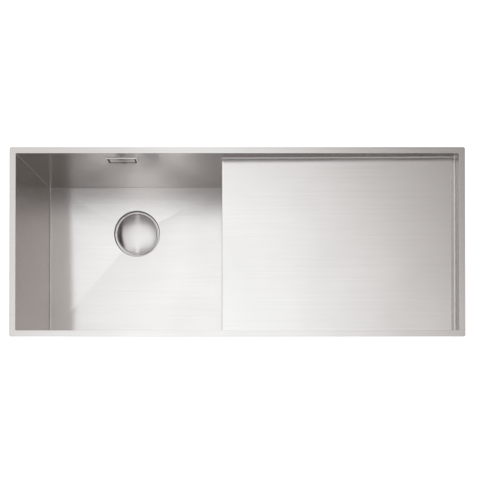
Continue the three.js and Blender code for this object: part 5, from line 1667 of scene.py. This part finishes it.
@dataclass
class Stiffeners:
    """The three hat channels spot-welded under the drainboard, and the earth tag."""

    nodes: dict[str, Piece]
    web: float = 13 * MM
    foot: float = 26 * MM
    height: float = 11 * MM
    sheet: float = 1 * MM
    bend: float = 1 * MM
    channels: int = 3
    weld_radius: float = 2.5 * MM
    weld_depth: float = 0.15 * MM
    weld_pitch: float = 40 * MM
    tag_sheet: float = 1.5 * MM
    tag_hole: float = 3.15 * MM
    tag_corner: float = 3 * MM
    tag_edge: float = 0.15 * MM

    def section(self) -> Outline:
        """Returns the channel's folded section, with its web's outside at zero."""
        web, foot, deep, sheet, bend = self.web, self.foot, self.height, self.sheet, self.bend
        outer = [(web, 0, bend + sheet), (web, sheet - deep, bend), (foot, sheet - deep), (foot, -deep)]
        half = [*outer, (web - sheet, -deep, bend + sheet), (web - sheet, -sheet, bend)]
        return eased([*half, *((-corner[0], *corner[1:]) for corner in reversed(half))])

    def welds(self, length: float) -> list[Piece]:
        """Returns the cutters for a row of weld dents along each foot."""
        count = int(length / self.weld_pitch)
        level = self.sheet - self.height
        rows = []
        for side in (-1, 1):
            dent = peg("dent", self.weld_radius, level - self.weld_depth, level + self.sheet, steps=24)
            across = side * (self.web + self.foot) / 2
            moved(dent, (across, -(count - 1) / 2 * self.weld_pitch, 0))
            rows.append(row_of(dent, count, (0, self.weld_pitch, 0)))
        return rows

    def build_channels(self) -> None:
        """Folds one channel, copies it under the panel and dresses each."""
        names = [f"drainer_channel_{index + 1}" for index in range(self.channels)]
        seats = [seat_of(self.nodes[name], (0, 0, -1)) for name in names]
        length = seats[0][1].y
        first = drawn_out("channel_1", self.section(), Run.Y, -length / 2, length / 2)
        cut_away(first, *self.welds(length))
        copies = [copy_of(first, f"channel_{index + 1}") for index in range(1, self.channels)]
        for channel, name, (place, _) in zip([first, *copies], names, seats):
            channel.matrix_world = place
            finish_piece(settle(channel), Slot.ZINC, name)

    def build_tag(self) -> None:
        """Folds the earth tag, rounds its ends, drills it and dresses it."""
        low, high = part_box("earth_tag")
        reach, drop, half, sheet = high.x - low.x, high.z - low.z, (high.y - low.y) / 2, self.tag_sheet
        corners = [(0, 0, 2 * sheet), (reach, 0), (reach, -sheet), (sheet, -sheet, sheet)]
        corners += [(sheet, -drop), (0, -drop)]
        tag = drawn_out("earth_lug", eased(corners), Run.Y, -half, half)
        ends = (
            lambda spot, run: abs(run.z) > ALIGNED and near(spot.x, reach),
            lambda spot, run: abs(run.x) > ALIGNED and near(spot.z, -drop),
        )
        with editing(tag):
            for is_end in ends:
                choose(Pick.EDGES, is_end)
                bpy.ops.mesh.bevel(offset=self.tag_corner, segments=5, affect="EDGES")
        hole = peg("hole", self.tag_hole, -2 * sheet, sheet)
        cut_away(tag, moved(hole, ((reach + sheet) / 2, 0, 0)))
        soften(tag, self.tag_edge, segments=2)
        moved(tag, (low.x, (low.y + high.y) / 2, high.z))
        finish_piece(tag, Slot.ZINC, "earth_tag")

    def build(self) -> None:
        """Builds the channels and the tag."""
        self.build_channels()
        self.build_tag()


@dataclass
class Clips:
    """The six fixing clips, each a bracket, a screw and a clamp arm, modelled once and copied."""

    sheet: float = 1.2 * MM
    seat_gap: float = 0.05 * MM
    half_width: float = 10 * MM
    top: float = -4 * MM
    shelf_under: float = -25.2 * MM
    reach: float = 7.8 * MM
    bend_shares: tuple[float, float] = (1.6, 0.6)
    bracket_edge: float = 0.15 * MM
    offset: float = 4.4 * MM
    hole: float = 2.3 * MM
    screw_radius: float = 2 * MM
    thread_depth: float = 0.35 * MM
    thread_pitch: float = 0.8 * MM
    screw_top: float = -23 * MM
    screw_low: float = -52.3 * MM
    head_radius: float = 3.4 * MM
    head_low: float = -53.8 * MM
    head_high: float = -50.8 * MM
    head_chamfer: float = 0.4 * MM
    slot: float = 1 * MM
    arm_length: float = 30 * MM
    arm_low: float = -50.5 * MM
    arm_high: float = -45.5 * MM
    arm_corner: float = 1 * MM
    arm_edge: float = 0.3 * MM
    bead_shares: tuple[float, float, float] = (0.5, 0.7, 0.3)
    toe: float = 2 * MM
    toe_length: float = 5 * MM
    toe_gap: float = 0.1 * MM
    places: tuple[str, ...] = ("left", "middle", "right")

    def bracket(self) -> Piece:
        """Returns the folded bracket with its gussets and its hole, on a wall at zero with +Y leading out."""
        inner, strip, sheet = self.seat_gap, self.seat_gap + self.sheet, self.sheet
        under, shelf, reach, top = self.shelf_under, self.shelf_under + sheet, self.reach, self.top
        outer_bend, inner_bend = (share * sheet for share in self.bend_shares)
        outline = [(inner, top), (inner, under, outer_bend), (reach, under), (reach, shelf)]
        outline = eased([*outline, (strip, shelf, inner_bend), (strip, top)])
        piece = drawn_out("bracket", outline, Run.X, -self.half_width, self.half_width)
        back, foot = strip - sheet / 2, under + sheet / 2
        gusset = [(back, foot), (reach, foot), (reach, shelf), (strip, top - sheet), (back, top - sheet)]
        for start in (-self.half_width, self.half_width - sheet):
            weld_on(piece, drawn_out("gusset", gusset, Run.X, start, start + sheet))
        hole = peg("hole", self.hole, under - CUT_THROUGH, shelf + CUT_THROUGH)
        cut_away(piece, moved(hole, (0, self.offset, 0)))
        return soften(piece, self.bracket_edge, segments=2, angle=50)

    def screw(self) -> Piece:
        """Returns the threaded screw with its slotted hexagon head."""
        size = (self.screw_radius, self.thread_depth, self.thread_pitch)
        piece = threaded("screw", *size, self.screw_low, self.screw_top, steps=16)
        radius, chamfer, low, high = self.head_radius, self.head_chamfer, self.head_low, self.head_high
        profile = [(0, low), (radius - chamfer, low), (radius, low + chamfer)]
        profile += [(radius, high - chamfer), (radius - chamfer, high), (0, high)]
        half, reach = self.slot / 2, 2 * radius
        slot = block("slot", (-reach, -half, low - half), (reach, half, low + self.slot))
        cut_away(weld_on(piece, turned("head", profile, steps=6)), slot)
        return moved(piece, (0, self.offset, 0))

    def arm(self) -> Piece:
        """Returns the clamp arm with its round eye and its toe."""
        half, length, corner = self.head_radius, self.arm_length, self.arm_corner
        corners = [(-half, half, half), (-half, -half, half), (length, -half, corner), (length, half, corner)]
        piece = drawn_out("arm", eased(corners, steps=10), Run.Z, self.arm_low, self.arm_high)
        low, high = self.arm_high - self.toe, self.arm_high + self.toe
        toe = block("toe", (length - self.toe_length, -half, low), (length - self.toe_gap, half, high))
        hole = peg("hole", self.hole, self.arm_low - CUT_THROUGH, self.arm_high + CUT_THROUGH)
        long, wide, round_corner = self.bead_shares
        outline = rectangle(long * length, wide * half, round_corner * half, (length / 2, 0))
        cut_away(weld_on(piece, toe), hole, drawn_out("bead", outline, Run.Z, low, high))
        soften(piece, self.arm_edge, angle=50)
        return moved(piece, (0, self.offset, 0))

    def build(self) -> None:
        """Models one clip, copies it to each place and dresses it."""
        models = {"bracket": self.bracket(), "screw": self.screw(), "arm": self.arm()}
        clips = [(side, place) for side in ("back", "front") for place in self.places]
        for side, place in clips:
            clip = f"clip_{side}_{place}"
            low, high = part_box(f"{clip}_bracket")
            at_back = side == "back"
            wall = low.y - self.seat_gap if at_back else high.y + self.seat_gap
            for part, model in models.items():
                piece = copy_of(model, f"{clip}_{part}_steel")
                moved(piece, ((low.x + high.x) / 2, wall, 0), 0 if at_back else math.pi)
                body = "sink" if part == "bracket" else f"{clip}_{part}"
                finish_piece(piece, Slot.ZINC, f"{clip}_{part}", body)
        for model in models.values():
            bpy.data.objects.remove(model)


# ---------------- studio


@dataclass
class Studio:
    """The camera, the floor and the light.

    The light is a function of the direction that it comes from: side, depth and up. Each fall is where a
    change starts and ends along a direction, and the brightness at either end.
    """

    camera_place: tuple[float, float, float] = (-0.021, -0.281, 1.0)
    tilt: float = math.radians(0.3)
    lens: float = 33.22
    shift: tuple[float, float] = (0.0251, 0.2584)
    camera_range: float = 200.0
    floor_size: float = 60.0
    floor_grey: float = 0.8
    floor_roughness: float = 0.9
    floor_glow: float = 0.66
    softbox: float = 1.5
    softbox_depth: float = 0.1
    right_fall: Fall = (0.1, 0.7, 1.0, 0.27)
    right_lean: float = 0.6
    left_fall: Fall = (0.14, 0.5, 1.0, 0.7)
    left_lean: float = 0.35
    back_fall: Fall = (0.37, 0.72, 1.0, 0.25)
    flag_fall: Fall = (-0.57, -0.47, 0.02, 1.0)
    front_fall: Fall = (-0.22, -0.04, 0.0, 1.0)
    front_lean: float = 0.5
    front_side: float = -0.1
    dusk_left: Fall = (-0.36, -0.2, 0.0, 0.24)
    dusk_right: Fall = (-0.1, 0.5, 1.0, 0.5)
    strip_place: float = -0.172
    strip_fall: Fall = (0.0, 0.036, 1.9, 0.0)
    surround: Fall = (-0.9, 0.9, 1.25, 0.85)
    surround_top: Fall = (0.4, 0.62, 0.0, 1.0)
    cool_fall: Fall = (0.8, 1.45, 0.0, 1.0)
    dim_warmth: float = 0.01
    lit_warmth: float = -0.05

    def build_camera(self) -> None:
        """Adds the camera at the photograph's viewing angle."""
        data = bpy.data.cameras.new("camera")
        data.lens = self.lens
        data.shift_x, data.shift_y = self.shift
        data.clip_end = self.camera_range
        camera = bpy.data.objects.new("camera", data)
        camera.location = self.camera_place
        camera.rotation_euler = (self.tilt, 0, 0)
        bpy.context.scene.collection.objects.link(camera)
        bpy.context.scene.camera = camera

    def build_floor(self, height: float) -> None:
        """Adds the pale floor under the lowest point of the sink."""
        deselect()
        bpy.ops.mesh.primitive_plane_add(size=self.floor_size, location=(0, 0, height))
        floor = newest("studio_floor")
        material, _, shader = new_material("pale_floor")
        looks = {"Base Color": tone(self.floor_grey), "Roughness": self.floor_roughness}
        looks |= {"Emission Color": tone(1.0), "Emission Strength": self.floor_glow}
        for key, value in looks.items():
            shader.inputs[key].default_value = value
        floor.data.materials.append(material)
        floor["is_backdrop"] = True

    def overhead(self, tree: Tree, side: Socket, depth: Socket) -> Socket:
        """Lays out the softbox over the sink, which fades to the right, left and back.

        Args:
            tree: the world's node tree.
            side: how far to the right the light comes from.
            depth: how far from the back.

        Returns:
            The brightness of that part of the studio.
        """
        beyond = maths(tree, "SUBTRACT", depth, self.softbox_depth)
        to_right = maths(tree, "MULTIPLY_ADD", beyond, self.right_lean, side)
        to_left = maths(tree, "SUBTRACT", maths(tree, "MULTIPLY", beyond, self.left_lean), side)
        light = maths(tree, "MULTIPLY", self.softbox, eased_range(tree, to_right, self.right_fall))
        for along, fall in ((to_left, self.left_fall), (depth, self.back_fall), (side, self.flag_fall)):
            light = maths(tree, "MULTIPLY", light, eased_range(tree, along, fall))
        return light

    def in_front(self, tree: Tree, side: Socket) -> Socket:
        """Returns the brightness of the dim side behind the camera, with its one bright strip."""
        left, right = (eased_range(tree, side, fall) for fall in (self.dusk_left, self.dusk_right))
        offset = maths(tree, "ABSOLUTE", maths(tree, "SUBTRACT", side, self.strip_place))
        dusk = maths(tree, "MULTIPLY", left, right)
        return maths(tree, "ADD", dusk, eased_range(tree, offset, self.strip_fall))

    def build_world(self) -> None:
        """Adds the studio's light, which is plain white to the camera."""
        world = bpy.data.worlds.new("studio")
        bpy.context.scene.world = world
        world.use_nodes = True
        tree = world.node_tree
        tree.nodes.clear()
        ray = add_node(tree, "TexCoord").outputs["Generated"]
        side, depth, up = add_node(tree, "SeparateXYZ", ray).outputs
        lean = maths(tree, "MAXIMUM", maths(tree, "SUBTRACT", self.front_side, side), 0.0)
        lit = eased_range(tree, maths(tree, "MULTIPLY_ADD", lean, self.front_lean, depth), self.front_fall)
        dim = maths(tree, "MULTIPLY", self.in_front(tree, side), maths(tree, "SUBTRACT", 1.0, lit))
        light = maths(tree, "MULTIPLY_ADD", self.overhead(tree, side, depth), lit, dim)
        high = eased_range(tree, up, self.surround_top)
        low = maths(tree, "SUBTRACT", 1.0, high)
        around = maths(tree, "MULTIPLY", eased_range(tree, side, self.surround), low)
        light = maths(tree, "MULTIPLY_ADD", light, high, around)
        bright = eased_range(tree, light, self.cool_fall)
        tint = mixed(tree, bright, tone(1.0, self.dim_warmth), tone(1.0, self.lit_warmth))
        glow = add_node(tree, "Background", tint, light)
        white = add_node(tree, "Background", tone(1.0), 1.0)
        seen = add_node(tree, "LightPath").outputs["Is Camera Ray"]
        mix = add_node(tree, "MixShader", seen, glow.outputs[0], white.outputs[0])
        add_node(tree, "OutputWorld", mix.outputs[0])

    def build(self, lowest: float) -> None:
        """Sets up the camera, the floor and the light."""
        bpy.context.scene.view_settings.view_transform = "Standard"
        self.build_camera()
        self.build_floor(lowest)
        self.build_world()


# ---------------- all together


def main() -> None:
    """Builds the sink's sub-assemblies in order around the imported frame."""
    logging.basicConfig(level=logging.INFO, format="%(message)s", stream=sys.stdout)
    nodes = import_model()["nodes"]
    cad_box = [list(corner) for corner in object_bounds()]
    Studio().build(cad_box[0][2])
    Rim().build()
    overflow, bowl = Overflow(), Bowl()
    bowl.build_walls(overflow.mouth_cutter(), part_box("drainer_tray")[0].z)
    bowl.build_floor()
    assemblies = [Drainboard(), Strainer(), Cover(), overflow, OverflowHousing(), OverflowLine()]
    assemblies += [WasteBody(), Basket(), Pads(nodes), Stiffeners(nodes), Clips()]
    for assembly in assemblies:
        assembly.build()
    LOG.info("packed nodes still shown: %s", [name for name, node in nodes.items() if not node.hide_render])


if __name__ == "__main__":
    main()
